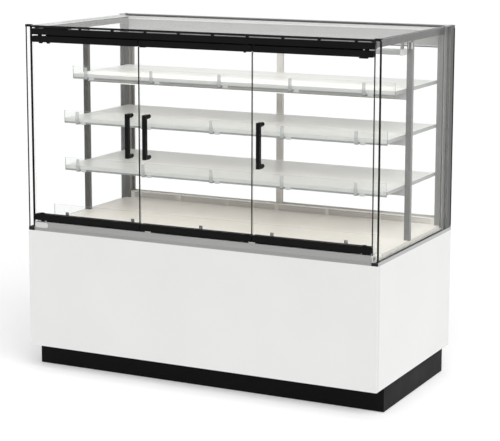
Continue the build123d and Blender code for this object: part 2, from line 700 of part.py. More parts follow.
def rear_beam():
    """A box beam with a lip at its top and a lower face that leans forward."""
    front, rear = REAR_BEAM
    shoulder = TOP_GLASS_Z - 14.0
    waist = TOP_GLASS_Z - 44.0
    with BuildPart() as beam:
        with BuildSketch(Plane.YZ.offset(-FRAME_IN)):
            with BuildLine():
                Polyline((front - BEAM_LIP, TOP_GLASS_Z), (rear, TOP_GLASS_Z), (rear, REAR_BEAM_BOTTOM),
                         (front - BEAM_LIP, REAR_BEAM_BOTTOM), (front - 2 * BEAM_LIP, REAR_BEAM_BOTTOM + 4.0),
                         (front, waist), (front, shoulder), (front - BEAM_LIP, shoulder),
                         (front - BEAM_LIP, TOP_GLASS_Z))
            make_face()
        extrude(amount=2 * FRAME_IN)
        block((-FRAME_IN, FRAME_IN), (front + TUBE_WALL, rear - TUBE_WALL),
              (REAR_BEAM_BOTTOM + 8.0, TOP_GLASS_Z - TUBE_WALL), mode=Mode.SUBTRACT)
    save("rear_beam", beam.part)


def track_grooves():
    """The limits on Y of the two grooves that the sliding doors run in, inner first."""
    inner = TRACK_Y[0] + TRACK_EDGE
    outer = inner + TRACK_GROOVE + TRACK_RIB
    return ((inner, inner + TRACK_GROOVE), (outer, outer + TRACK_GROOVE))


def rear_door_tracks():
    low_top = BASE_TOP + TRACK_BOTTOM_H
    high_bottom = HEIGHT - TRACK_TOP_H
    with BuildPart() as low:
        block((-SILL_HALF, SILL_HALF), TRACK_Y, (BASE_TOP, low_top))
        for y in track_grooves():
            block((-SILL_HALF, SILL_HALF), y, (low_top - TRACK_GROOVE_DEPTH, low_top), mode=Mode.SUBTRACT)
    with BuildPart() as high:
        block((-TRACK_HALF, TRACK_HALF), (TRACK_Y[0], REAR), (high_bottom, HEIGHT))
        for y in track_grooves():
            block((-TRACK_HALF, TRACK_HALF), y, (high_bottom, high_bottom + TRACK_TOP_GROOVE_DEPTH),
                  mode=Mode.SUBTRACT)
        fillet(high.edges().filter_by(Axis.X).group_by(Axis.Z)[-1].sort_by(Axis.Y)[-1], EDGE_R)
    save("rear_door_tracks", low.part, high.part)


def top_glass():
    y = (FRONT + 1.0 + TOP_TRIM_T, REAR_BEAM[1])
    z = (TOP_GLASS_Z, TOP_GLASS_Z + TOP_GLASS_T)
    save("top_glass", plain((-FRAME_OUT, FRAME_OUT), y, z))

    seal_z = (TOP_GLASS_Z, TOP_GLASS_Z + TOP_GLASS_T + 1.0)
    seals = [plain((-FRAME_OUT, FRAME_OUT), (FRONT + 1.0, y[0]), (TOP_GLASS_Z - 1.0, seal_z[1] + 0.5)),
             plain((-FRAME_OUT, FRAME_OUT), (y[1], TRACK_Y[0]), (TOP_GLASS_Z - 6.0, TOP_GLASS_Z + 3.5))]
    seals += [plain(sided(s, FRAME_OUT, FRAME_OUT + TOP_SEAL_T), y, seal_z) for s in SIDES]
    count = int(2 * FRAME_OUT // BLOCK_PITCH)
    for i in range(count):
        x = (i - (count - 1) / 2) * BLOCK_PITCH
        block_y = (FRONT + HEADER_SETBACK + 6.0, FRONT + HEADER_SETBACK + 6.0 + BLOCK_D)
        seals.append(plain((x - BLOCK_W / 2, x + BLOCK_W / 2), block_y, (HEADER_TOP, TOP_GLASS_Z)))
    save("top_glass_seals", *seals)


def front_header():
    y = (FRONT + HEADER_SETBACK, FRONT + HEADER_SETBACK + HEADER_D)
    with BuildPart() as header:
        block((-FRAME_OUT, FRAME_OUT), y, (HEADER_BOTTOM, HEADER_TOP))
        fillet(header.edges().filter_by(Axis.X).group_by(Axis.Y)[0], EDGE_R / 2)
        with Locations(*[(x, PIVOT_Y, HEADER_BOTTOM) for x in pivot_xs()]):
            Cylinder(PIVOT_R + PIVOT_CLEAR, 2 * (PIVOT_REACH + 1.0), mode=Mode.SUBTRACT)
    save("front_header", header.part)


# Lamps
def canopy_lamp():
    y = (MID_UPRIGHT[0] - LAMP_GAP - LAMP_D, MID_UPRIGHT[0] - LAMP_GAP)
    z = (LAMP_TOP - LAMP_H, LAMP_TOP)
    middle = (y[0] + y[1]) / 2
    bracket_y = (middle - LAMP_BRACKET_W / 2, middle + LAMP_BRACKET_W / 2)
    with BuildPart() as lamp:
        block((-SHELF_HALF, SHELF_HALF), y, z)
        fillet(lamp.edges().filter_by(Axis.X), LAMP_EDGE_R)
    brackets = []
    for side in SIDES:
        with BuildPart() as bracket:
            block(sided(side, SHELF_HALF - 9.0, SHELF_HALF - 9.0 + LAMP_BRACKET_T), bracket_y,
                  (LAMP_TOP, SIDE_RAIL_BOTTOM))
            block(sided(side, SHELF_HALF - 9.0, FRAME_OUT), bracket_y,
                  (SIDE_RAIL_BOTTOM - LAMP_BRACKET_T, SIDE_RAIL_BOTTOM))
        brackets.append(bracket.part)
    save("canopy_lamp", lamp.part, *brackets)

    canopy_x = SHELF_HALF - 12.0
    strip_x = SHELF_HALF - 20.0
    strip_y = (MID_UPRIGHT[0] + 2.0, MID_UPRIGHT[1] - 2.0)
    diffusers = [plain((-canopy_x, canopy_x), (y[0] + 8.0, y[1] - 8.0), (z[0] - DIFFUSER_T, z[0]))]
    for top in SHELF_TOPS:
        beam_bottom = top - SHELF_T - BEAM_H
        diffusers.append(plain((-strip_x, strip_x), strip_y, (beam_bottom - DIFFUSER_T, beam_bottom)))
    save("lamp_diffusers", *diffusers)


# Shelves
def shelves():
    trays = []
    for top, setback in zip(SHELF_TOPS, SHELF_SETBACKS):
        trays.append(folded_tray((-SHELF_HALF, SHELF_HALF), (FRONT + setback, SHELF_REAR),
                                 (top - SHELF_T, top), SHEET))
    save("shelf_trays", *trays)

    beams = []
    for top in SHELF_TOPS:
        beams.append(tube((-FRAME_IN, FRAME_IN), MID_UPRIGHT, (top - SHELF_T - BEAM_H, top - SHELF_T)))
    save("shelf_beams", *beams)

    hooks = []
    for top in SHELF_TOPS:
        for side in SIDES:
            hooks.append(plain(sided(side, FRAME_IN - HOOK_W, FRAME_IN),
                               (SHELF_REAR, SHELF_REAR + HOOK_REACH), (top - SHELF_T + 1.0, top - 1.0)))
    save("shelf_hooks", *hooks)


def fences():
    x = (-SHELF_HALF, SHELF_HALF)
    panes = []
    for top, setback in zip(SHELF_TOPS, SHELF_SETBACKS):
        y = (FRONT + setback - FENCE_T, FRONT + setback)
        panes.append(plain(x, y, (top - FENCE_DROP, top + FENCE_RISE)))
    panes.append(plain(x, (DECK_FENCE_Y, DECK_FENCE_Y + FENCE_T), (FLANGE_TOP, DECK_Z + DECK_FENCE_RISE)))
    save("shelf_fences", *panes)


def shelf_clip(x, top, fence_front):
    """A strip in front of the fence, and the foot that reaches back from it under the shelf."""
    low = top - FENCE_DROP - CLIP_FOOT_T
    lip = fence_front + FENCE_T
    with BuildPart() as foot:
        with BuildSketch(Plane.YZ.offset(x - CLIP_W / 2)):
            with BuildLine():
                Polyline((fence_front, low), (lip + CLIP_FOOT, low), (lip + CLIP_FOOT, top - SHELF_T),
                         (lip, top - SHELF_T), (lip, low + CLIP_FOOT_T), (fence_front, low + CLIP_FOOT_T),
                         (fence_front, low))
            make_face()
        extrude(amount=CLIP_W)
    strip_x = (x - CLIP_W / 2, x + CLIP_W / 2)
    strip = plain(strip_x, (fence_front - CLIP_T, fence_front), (low, top + CLIP_RISE))
    return [strip, foot.part]


def fence_clips():
    count = int((2 * SHELF_HALF - 2 * CLIP_FIRST) // CLIP_PITCH) + 1
    xs = [-SHELF_HALF + CLIP_FIRST + i * CLIP_PITCH for i in range(count)]
    clips = []
    for top, setback in zip(SHELF_TOPS, SHELF_SETBACKS):
        for x in xs:
            clips += shelf_clip(x, top, FRONT + setback - FENCE_T)
    deck_y = (DECK_FENCE_Y - CLIP_T, DECK_FENCE_Y)
    deck_z = (FLANGE_TOP, DECK_Z + DECK_CLIP_RISE)
    clips += [plain((x - CLIP_W / 2, x + CLIP_W / 2), deck_y, deck_z) for x in xs]
    save("fence_clips", *clips)


# Front doors
def pivot_xs():
    """The hinge line of each front door."""
    return [left + PIVOT_INSET if side < 0 else left + DOOR_W - PIVOT_INSET
            for left, side in zip(DOOR_LEFTS, HINGE_SIDES)]


def front_door(name, left, hinge_x, hinge_side):
    x = (left, left + DOOR_W)
    pane_x = (x[0] + DOOR_PANE_EDGE, x[1] - DOOR_PANE_EDGE)
    pane_z = (DOOR_BOTTOM + BOTTOM_RAIL_H - DOOR_PANE_GRIP, DOOR_TOP - TOP_RAIL_H + DOOR_PANE_GRIP)
    save(f"front_door_pane_{name}", plain(pane_x, DOOR_PANE_Y, pane_z))

    with BuildPart() as low:
        block(x, RAIL_Y, (DOOR_BOTTOM, DOOR_BOTTOM + BOTTOM_RAIL_H))
        fillet(low.edges().filter_by(Axis.Y).group_by(Axis.Z)[-1], RAIL_CORNER_R)
        block(pane_x, DOOR_PANE_Y, (pane_z[0], DOOR_BOTTOM + BOTTOM_RAIL_H), mode=Mode.SUBTRACT)
        with Locations((hinge_x, PIVOT_Y, DOOR_BOTTOM)):
            Cylinder(PIVOT_R + PIVOT_SEAT_GAP, 2 * PIVOT_SEAT, mode=Mode.SUBTRACT)
    with BuildPart() as high:
        block(x, RAIL_Y, (DOOR_TOP - TOP_RAIL_H, DOOR_TOP))
        fillet(high.edges().filter_by(Axis.Y).group_by(Axis.Z)[0], RAIL_CORNER_R)
        block(pane_x, DOOR_PANE_Y, (DOOR_TOP - TOP_RAIL_H, pane_z[1]), mode=Mode.SUBTRACT)
        with Locations((hinge_x, PIVOT_Y, DOOR_TOP)):
            Cylinder(PIVOT_R + PIVOT_SEAT_GAP, 2 * (TOP_RAIL_H - DOOR_PANE_GRIP - 1.0), mode=Mode.SUBTRACT)
    save(f"front_door_rails_{name}", low.part, high.part)

    save(f"front_door_pivots_{name}", pivot_pin(hinge_x, DOOR_BOTTOM, 1), pivot_pin(hinge_x, DOOR_TOP, -1))

    handle_x = x[1] - HANDLE_INSET if hinge_side < 0 else x[0] + HANDLE_INSET
    door_handle(name, handle_x)


def pivot_pin(x, rail_z, inward):
    """A pin pressed into a rail, with the collar that spaces the rail from the cabinet."""
    seat = (PIVOT_SEAT if inward > 0 else TOP_RAIL_H - DOOR_PANE_GRIP - 1.0) - 0.5
    collar = DOOR_RUNNING_GAP - PIVOT_CLEAR
    with BuildPart() as pin:
        with BuildSketch(Plane.XY.offset(rail_z + inward * seat)):
            with Locations((x, PIVOT_Y)):
                Circle(PIVOT_R)
        extrude(amount=-inward * (seat + DOOR_RUNNING_GAP + PIVOT_REACH))
        with BuildSketch(Plane.XY.offset(rail_z)):
            with Locations((x, PIVOT_Y)):
                Circle(PIVOT_COLLAR_R)
        extrude(amount=-inward * collar)
    return pin.part


def door_handle(name, x):
    """A square bar on two square feet, with the washers that clamp it through the pane."""
    middle = (DOOR_BOTTOM + DOOR_TOP) / 2
    ends = (middle - HANDLE_LENGTH / 2, middle + HANDLE_LENGTH / 2)
    bar_x = (x - HANDLE_BAR / 2, x + HANDLE_BAR / 2)
    bar_y = (FRONT - HANDLE_PROUD, FRONT - HANDLE_PROUD + HANDLE_BAR)
    with BuildPart() as bar:
        block(bar_x, bar_y, ends)
        fillet(bar.edges().filter_by(Axis.Z).group_by(Axis.Y)[0], 1.0)
    solids = [bar.part]
    for low in (ends[0], ends[1] - HANDLE_BAR):
        solids.append(plain(bar_x, (bar_y[1], DOOR_PANE_Y[0]), (low, low + HANDLE_BAR)))
        with BuildPart() as washer:
            with BuildSketch(Plane.XZ.offset(-DOOR_PANE_Y[1])):
                with Locations((x, low + HANDLE_BAR / 2)):
                    Circle(HANDLE_BOSS_R)
            extrude(amount=-HANDLE_BOSS_T)
        solids.append(washer.part)
    save(f"front_door_handle_{name}", *solids)


# Rear sliding doors
def rear_door(name, x, groove, pull_x):
    z = (BASE_TOP + TRACK_BOTTOM_H - TRACK_GROOVE_DEPTH + SLIDER_CLEAR, HEIGHT - TRACK_TOP_H + SLIDER_LIFT)
    middle = (groove[0] + groove[1]) / 2
    y = (middle - SLIDER_T / 2, middle + SLIDER_T / 2)
    window_x = (x[0] + SLIDER_STILE, x[1] - SLIDER_STILE)
    window_z = (z[0] + SLIDER_STILE, z[1] - SLIDER_STILE)
    pane_x = (window_x[0] - SLIDER_PANE_GRIP, window_x[1] + SLIDER_PANE_GRIP)
    pane_z = (window_z[0] - SLIDER_PANE_GRIP, window_z[1] + SLIDER_PANE_GRIP)
    pane_y = (middle - SLIDER_PANE_T / 2, middle + SLIDER_PANE_T / 2)
    pull_z = (window_z[0] + window_z[1]) / 2
    with BuildPart() as frame:
        block(x, y, z)
        block(window_x, y, window_z, mode=Mode.SUBTRACT)
        block(pane_x, pane_y, pane_z, mode=Mode.SUBTRACT)
        block((pull_x - PULL_W / 2, pull_x + PULL_W / 2), (y[1] - PULL_DEPTH, y[1]),
              (pull_z - PULL_H / 2, pull_z + PULL_H / 2), mode=Mode.SUBTRACT)
    save(f"rear_door_frame_{name}", frame.part)
    save(f"rear_door_pane_{name}", plain(pane_x, pane_y, pane_z))


# Cooling machinery
def fan_blades(x, y, z, radius, blades):
    """A hub bored for its shaft, with flat blades set at an angle; the axis runs along Y."""
    reach = radius - FAN_HUB_R + 2.0
    with BuildPart() as fan:
        with BuildSketch(Plane.XZ.offset(-(y - FAN_HUB_L / 2))):
            with Locations((x, z)):
                Circle(FAN_HUB_R)
        extrude(amount=-FAN_HUB_L)
        for i in range(blades):
            turn = 360.0 * i / blades
            outward = Vector(math.cos(math.radians(turn)), 0, math.sin(math.radians(turn)))
            across = Vector(0, 1, 0).rotate(Axis((0, 0, 0), outward), FAN_PITCH_DEG)
            start = Vector(x, y, z) + outward * (FAN_HUB_R - 2.0)
            with BuildSketch(Plane(origin=start, x_dir=outward, z_dir=across)):
                with BuildLine():
                    Polyline((0, -12.0), (reach - 4.0, -20.0), (reach, 0), (reach - 4.0, 20.0),
                             (0, 12.0), (0, -12.0))
                make_face()
            extrude(amount=FAN_BLADE_T / 2, both=True)
        with BuildSketch(Plane.XZ.offset(-(y - FAN_HUB_L))):
            with Locations((x, z)):
                Circle(FAN_SHAFT_R + FAN_SHAFT_GAP)
        extrude(amount=-2 * FAN_HUB_L, mode=Mode.SUBTRACT)
    return fan.part


def fan_motor(x, plate_y, z, radius):
    """Into the open plate: its round opening, the motor behind it on a cross of straps, and the shaft."""
    motor_front = plate_y + FAN_PLATE_T / 2 + FAN_HUB_L + FAN_STANDOFF
    with BuildSketch(Plane.XZ.offset(-(plate_y - FAN_PLATE_T))) as opening:
        with Locations((x, z)):
            Circle(radius + FAN_TIP_GAP)
    extrude(opening.sketch, amount=-2 * FAN_PLATE_T, mode=Mode.SUBTRACT)
    with BuildSketch(Plane.XZ.offset(-motor_front)) as motor:
        with Locations((x, z)):
            Circle(FAN_MOTOR_R)
    extrude(motor.sketch, amount=-FAN_MOTOR_L)
    with BuildSketch(Plane.XZ.offset(-(motor_front - FAN_HUB_L))) as shaft:
        with Locations((x, z)):
            Circle(FAN_SHAFT_R)
    extrude(shaft.sketch, amount=-FAN_HUB_L)
    strap = (radius + FAN_TIP_GAP + 6.0)
    block((x - strap, x + strap), (motor_front + 8.0, motor_front + 11.0), (z - 5.0, z + 5.0))
    for side in SIDES:
        foot = (x + side * (strap - 3.0) - 3.0, x + side * (strap - 3.0) + 3.0)
        block(foot, (plate_y, motor_front + 11.0), (z - 5.0, z + 5.0))


def fan_middle(plate_y):
    """Where the hub's middle sits on Y, in front of its motor."""
    return plate_y + FAN_PLATE_T / 2 + FAN_HUB_L / 2


def evaporator_fans():
    plate_y = FRONT + EVAP_PLATE_Y
    with BuildPart() as plate:
        block((-WELL_X + WELL_WALL, WELL_X - WELL_WALL),
              (plate_y - FAN_PLATE_T / 2, plate_y + FAN_PLATE_T / 2), (WELL_FLOOR, FLANGE_TOP))
        for side in SIDES:
            fan_motor(side * EVAP_FAN_X, plate_y, EVAP_FAN_Z, EVAP_FAN_R)
    save("evaporator_fan_plate", plate.part)
    for name, side in (("left", -1), ("right", 1)):
        fan = fan_blades(side * EVAP_FAN_X, fan_middle(plate_y), EVAP_FAN_Z, EVAP_FAN_R, 5)
        save(f"evaporator_fan_{name}", fan)


def condenser_fan():
    with BuildPart() as shroud:
        block(CONDENSER_X, (COND_PLATE_Y - FAN_PLATE_T / 2, COND_PLATE_Y + FAN_PLATE_T / 2),
              (PAN_TOP, CONDENSER_Z[1]))
        for edge in (CONDENSER_X[0], CONDENSER_X[1] - FAN_PLATE_T):
            block((edge, edge + FAN_PLATE_T), (FRONT + CONDENSER_Y[1], COND_PLATE_Y),
                  (PAN_TOP, CONDENSER_Z[1]))
        fan_motor(COND_FAN_X, COND_PLATE_Y, COND_FAN_Z, COND_FAN_R)
    save("condenser_fan_shroud", shroud.part)
    save("condenser_fan", fan_blades(COND_FAN_X, fan_middle(COND_PLATE_Y), COND_FAN_Z, COND_FAN_R, 6))


def finned_coil(label, x, y, z, floor):
    """A block of fins between two end plates, with rows of tube through them."""
    count = int((x[1] - x[0] - 2 * FIN_PITCH) // FIN_PITCH)
    rows = int((z[1] - z[0]) // 40.0)
    with BuildPart() as coil:
        for end in (x[0], x[1] - 2 * FIN_T):
            block((end, end + 2 * FIN_T), y, (floor, z[1]))
        for i in range(count):
            at = x[0] + FIN_PITCH * (i + 1)
            block((at, at + FIN_T), y, z)
        with BuildSketch(Plane.YZ.offset(x[0])):
            with Locations(((y[0] + y[1]) / 2, (z[0] + z[1]) / 2)):
                with GridLocations((y[1] - y[0]) / 2, COIL_ROW, 2, rows):
                    Circle(COIL_TUBE_R)
        extrude(amount=x[1] - x[0])
    save(label, coil.part)


def compressor():
    y = FRONT + COMPRESSOR_Y
    base = PAN_TOP + COMPRESSOR_LIFT
    with BuildPart() as can:
        with BuildSketch(Plane.XY.offset(base)):
            with Locations((COMPRESSOR_X, y)):
                Circle(COMPRESSOR_R)
        extrude(amount=COMPRESSOR_H)
        fillet(can.edges().group_by(Axis.Z)[-1], 30.0)
        fillet(can.edges().group_by(Axis.Z)[0], 8.0)
        block((COMPRESSOR_X - 100.0, COMPRESSOR_X + 100.0), (y - 55.0, y + 55.0), (base - 3.0, base + 1.0))
        block((COMPRESSOR_X + COMPRESSOR_R - 12.0, COMPRESSOR_X + COMPRESSOR_R + 22.0), (y - 28.0, y + 28.0),
              (base + 50.0, base + 110.0))
        with BuildSketch(Plane.XY.offset(PAN_TOP)):
            with Locations((COMPRESSOR_X, y)):
                with GridLocations(170.0, 84.0, 2, 2):
                    Circle(9.0)
        extrude(amount=base - PAN_TOP - 3.0)
    save("compressor", can.part)


def evaporation_tray():
    y = off(TRAY_Y)
    with BuildPart() as tray:
        block(TRAY_X, y, (PAN_TOP, PAN_TOP + TRAY_H))
        block((TRAY_X[0] + TRAY_WALL, TRAY_X[1] - TRAY_WALL), (y[0] + TRAY_WALL, y[1] - TRAY_WALL),
              (PAN_TOP + TRAY_WALL, PAN_TOP + TRAY_H), mode=Mode.SUBTRACT)
        fillet(tray.edges().filter_by(Axis.Z), 1.2)
    save("evaporation_tray", tray.part)


def bent_line(points, drier_x=None):
    """A tube of straight runs and round bends, with a drier round it where one is called for."""
    with BuildPart() as tube:
        with BuildLine() as route:
            FilletPolyline(*points, radius=LINE_BEND)
        with BuildSketch(Plane(origin=route.line @ 0, z_dir=route.line % 0)):
            Circle(LINE_R)
        sweep()
        if drier_x is not None:
            run = points[3]
            with Locations(Location((drier_x, run[1], run[2]), (0, 90, 0))):
                Cylinder(DRIER_R, DRIER_L)
    return tube.part


def refrigerant_lines():
    """Discharge line to the condenser, and the liquid and suction lines up into the well."""
    can_y = FRONT + COMPRESSOR_Y
    can_top = PAN_TOP + COMPRESSOR_LIFT + COMPRESSOR_H
    cond_y = FRONT + (CONDENSER_Y[0] + CONDENSER_Y[1]) / 2
    liquid_y = FRONT + EVAPORATOR_Y[0] + LINE_INSET
    suction_y = FRONT + EVAPORATOR_Y[1] - LINE_INSET
    riser_x = EVAPORATOR_X[1] + LINE_RISER
    low = PAN_TOP + 35.0
    middle = PAN_TOP + 100.0
    high = WELL_BOTTOM - 35.0
    inside = WELL_FLOOR + LINE_RISE
    turn_x = CONDENSER_X[0] - 90.0
    discharge = bent_line([(COMPRESSOR_X, can_y + COMPRESSOR_R, middle), (COMPRESSOR_X, cond_y, middle),
                           (CONDENSER_X[0], cond_y, middle)])
    liquid = bent_line([(CONDENSER_X[0], cond_y - 15.0, low), (turn_x, cond_y - 15.0, low),
                        (turn_x, liquid_y, low), (turn_x, liquid_y, high), (riser_x, liquid_y, high),
                        (riser_x, liquid_y, inside), (EVAPORATOR_X[1], liquid_y, inside)], COND_FAN_X - 80.0)
    over = high + 12.0
    turn = COMPRESSOR_X + 150.0
    suction = bent_line([(COMPRESSOR_X, can_y, can_top), (COMPRESSOR_X, can_y, over), (turn, can_y, over),
                         (turn, suction_y, over), (riser_x, suction_y, over), (riser_x, suction_y, inside),
                         (EVAPORATOR_X[1], suction_y, inside)])
    save("refrigerant_lines", discharge, liquid, suction)


def controls():
    """The control box with the gland its cable would leave by, and the two bezels on the rear panel."""
    with BuildPart() as box:
        y = off(CONTROL_Y)
        block(CONTROL_X, y, (PAN_TOP, PAN_TOP + CONTROL_H))
        fillet(box.edges().filter_by(Axis.Z), 3.0)
        block((CONTROL_X[0] + TUBE_WALL, CONTROL_X[1] - TUBE_WALL), (y[0] + TUBE_WALL, y[1] - TUBE_WALL),
              (PAN_TOP, PAN_TOP + CONTROL_H - TUBE_WALL), mode=Mode.SUBTRACT)
    with BuildPart() as gland:
        with BuildSketch(Plane.XY.offset(PAN_TOP)):
            with Locations((GLAND_X, REAR - GLAND_INSET)):
                RegularPolygon(GLAND_R * 1.5, 6)
        extrude(amount=6.0)
        with BuildSketch(Plane.XY.offset(PAN_TOP)):
            with Locations((GLAND_X, REAR - GLAND_INSET)):
                Circle(GLAND_R)
        extrude(amount=-18.0)
        fillet(gland.edges().group_by(Axis.Z)[0], 3.0)
    save("control_box", box.part, gland.part)

    with BuildPart() as thermostat:
        with BuildSketch(Plane.XZ.offset(-REAR_SHEET_Y)):
            with Locations((THERMOSTAT_X, CONTROLS_Z)):
                RectangleRounded(*THERMOSTAT_FACE, 4.0)
        extrude(amount=-BEZEL_T)
        with BuildSketch(Plane.XZ.offset(-REAR_SHEET_Y)):
            with Locations((THERMOSTAT_X, CONTROLS_Z)):
                Rectangle(*THERMOSTAT_BODY)
        extrude(amount=REAR_PANEL_T - REAR_PANEL_RECESS + 20.0)
    with BuildPart() as housing:
        with BuildSketch(Plane.XZ.offset(-REAR_SHEET_Y)):
            with Locations((SWITCH_X, CONTROLS_Z)):
                RectangleRounded(*SWITCH_FACE, 3.0)
                Rectangle(*SWITCH_OPENING, mode=Mode.SUBTRACT)
        extrude(amount=-BEZEL_T)
    save("rear_controls", thermostat.part, housing.part)


def power_switch():
    """A rocker that tips about a line along X at the panel's sheet."""
    w = SWITCH_OPENING[0] - CUT_OUT_GAP
    h = SWITCH_OPENING[1] - 1.5 * CUT_OUT_GAP
    with BuildPart() as rocker:
        with BuildSketch(Plane.YZ.offset(-w / 2)):
            with BuildLine():
                Polyline((-4.0, -h / 2 + 1.5), (3.4, -h / 2), (2.6, 0), (3.4, h / 2), (-4.0, h / 2 - 1.5),
                         (-4.0, -h / 2 + 1.5))
            make_face()
        extrude(amount=w)
    save("power_switch", Pos(SWITCH_X, REAR_SHEET_Y, CONTROLS_Z) * Rot(ROCKER_DEG, 0, 0) * rocker.part)


base_frame()
levelling_feet()
kick_plates()
front_panel()
side_panels()
rear_panel()
panel_screws()
insulated_well()
deck_panels()
front_sill()
badge_plate()
front_air_grille()
rear_riser()
glazing_channels()
glazing_gaskets()
end_glass()
corner_caps()
side_frames()
rear_corner_posts()
rear_beam()
rear_door_tracks()
top_glass()
front_header()
canopy_lamp()
shelves()
fences()
fence_clips()
for name, left, hinge_x, hinge_side in zip(DOOR_NAMES, DOOR_LEFTS, pivot_xs(), HINGE_SIDES):
    front_door(name, left, hinge_x, hinge_side)
SLIDER_HALF = GLASS_IN - SLIDER_SIDE_GAP
INNER_GROOVE, OUTER_GROOVE = track_grooves()
rear_door("left", (-SLIDER_HALF, SLIDER_LAP / 2), INNER_GROOVE, -SLIDER_HALF + SLIDER_STILE / 2)
rear_door("right", (-SLIDER_LAP / 2, SLIDER_HALF), OUTER_GROOVE, SLIDER_HALF - SLIDER_STILE / 2)
evaporator_fans()
condenser_fan()
finned_coil("evaporator_coil", EVAPORATOR_X, off(EVAPORATOR_Y), EVAPORATOR_Z, WELL_FLOOR)
finned_coil("condenser_coil", CONDENSER_X, off(CONDENSER_Y), CONDENSER_Z, PAN_TOP)
compressor()
evaporation_tray()
refrigerant_lines()
controls()
power_switch()
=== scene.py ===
"""Looks of the refrigerated merchandiser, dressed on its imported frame.

Lengths are in metres. X runs along the counter to the right, Y from the front to the back, and Z up
from the floor.
"""

import json
import math

import bpy
import numpy as np
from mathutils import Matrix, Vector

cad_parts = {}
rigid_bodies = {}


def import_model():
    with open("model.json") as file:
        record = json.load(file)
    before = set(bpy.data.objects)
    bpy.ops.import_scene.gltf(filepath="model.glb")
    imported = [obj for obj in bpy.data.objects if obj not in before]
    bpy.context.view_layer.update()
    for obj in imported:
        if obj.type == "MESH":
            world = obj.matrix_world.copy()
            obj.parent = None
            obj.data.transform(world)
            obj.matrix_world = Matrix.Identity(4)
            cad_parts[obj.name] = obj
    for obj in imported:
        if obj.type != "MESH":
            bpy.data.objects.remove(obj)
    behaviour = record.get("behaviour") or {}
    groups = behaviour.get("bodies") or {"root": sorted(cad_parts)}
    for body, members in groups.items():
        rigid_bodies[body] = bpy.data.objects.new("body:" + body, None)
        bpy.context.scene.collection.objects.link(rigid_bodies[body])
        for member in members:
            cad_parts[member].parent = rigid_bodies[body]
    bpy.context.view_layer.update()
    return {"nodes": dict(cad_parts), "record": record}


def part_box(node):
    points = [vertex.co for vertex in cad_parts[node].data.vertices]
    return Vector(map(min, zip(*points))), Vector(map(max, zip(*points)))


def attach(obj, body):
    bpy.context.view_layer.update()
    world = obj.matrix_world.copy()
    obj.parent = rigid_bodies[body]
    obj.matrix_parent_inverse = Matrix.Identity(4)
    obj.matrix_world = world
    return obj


for stray in list(bpy.data.objects):
    bpy.data.objects.remove(stray)
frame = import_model()
nodes = frame["nodes"]


# --- Measures, as the CAD has them ----------------------------------------------------------------

FRONT = -0.37  # the front of the body; only the door handles stand out further
REAR = 0.395
SILL_TOP = 0.602
DECK_TOP = 0.588
SHELF_TOPS = (0.802, 0.994, 1.167)
SHELF_SETBACKS = (0.200, 0.200, 0.268)  # from the front of the body to each shelf's front
FENCE_THICK = 0.004  # the fences stand against the shelves' fronts
FIRST_CLIP_X = -0.638
CLIP_PITCH = 0.3034
CLIPS = 5
OUTER_PANE_X = 0.745  # from the middle of the cabinet to the middle of each end pane
INNER_PANE_X = 0.725
HALF_PANE = 0.002
GLASS_FRONT = FRONT + 0.003  # the rims of the end panes
GLASS_REAR = 0.348


# --- Shader maths ---------------------------------------------------------------------------------


class Value:
    """A number or colour that a shader node gives. Sums written on numbers add Math nodes."""

    def __init__(self, finish, socket):
        self.finish = finish
        self.socket = socket

    def __add__(self, other):
        return self.finish.maths("ADD", self, other)

    def __rsub__(self, other):
        return self.finish.maths("SUBTRACT", other, self)

    def __mul__(self, other):
        return self.finish.maths("MULTIPLY", self, other)

    def __pow__(self, other):
        return self.finish.maths("POWER", self, other)

    def __abs__(self):
        return self.finish.maths("ABSOLUTE", self)

    def __gt__(self, other):
        return self.finish.maths("GREATER_THAN", self, other)

    def __lt__(self, other):
        return self.finish.maths("LESS_THAN", self, other)

    __radd__ = __add__
    __rmul__ = __mul__


def tone(red, green, blue):
    """A colour as a screen shows it, 0 to 255 per channel, turned into the light it stands for."""
    shown = np.array([red, green, blue]) / 255
    light = np.where(shown <= 0.04045, shown / 12.92, ((shown + 0.055) / 1.055) ** 2.4)
    return (*light.tolist(), 1.0)


def grey(level):
    """The cabinet's usual grey at a given level, a touch warm, as a screen shows it."""
    return level, level, level - 1


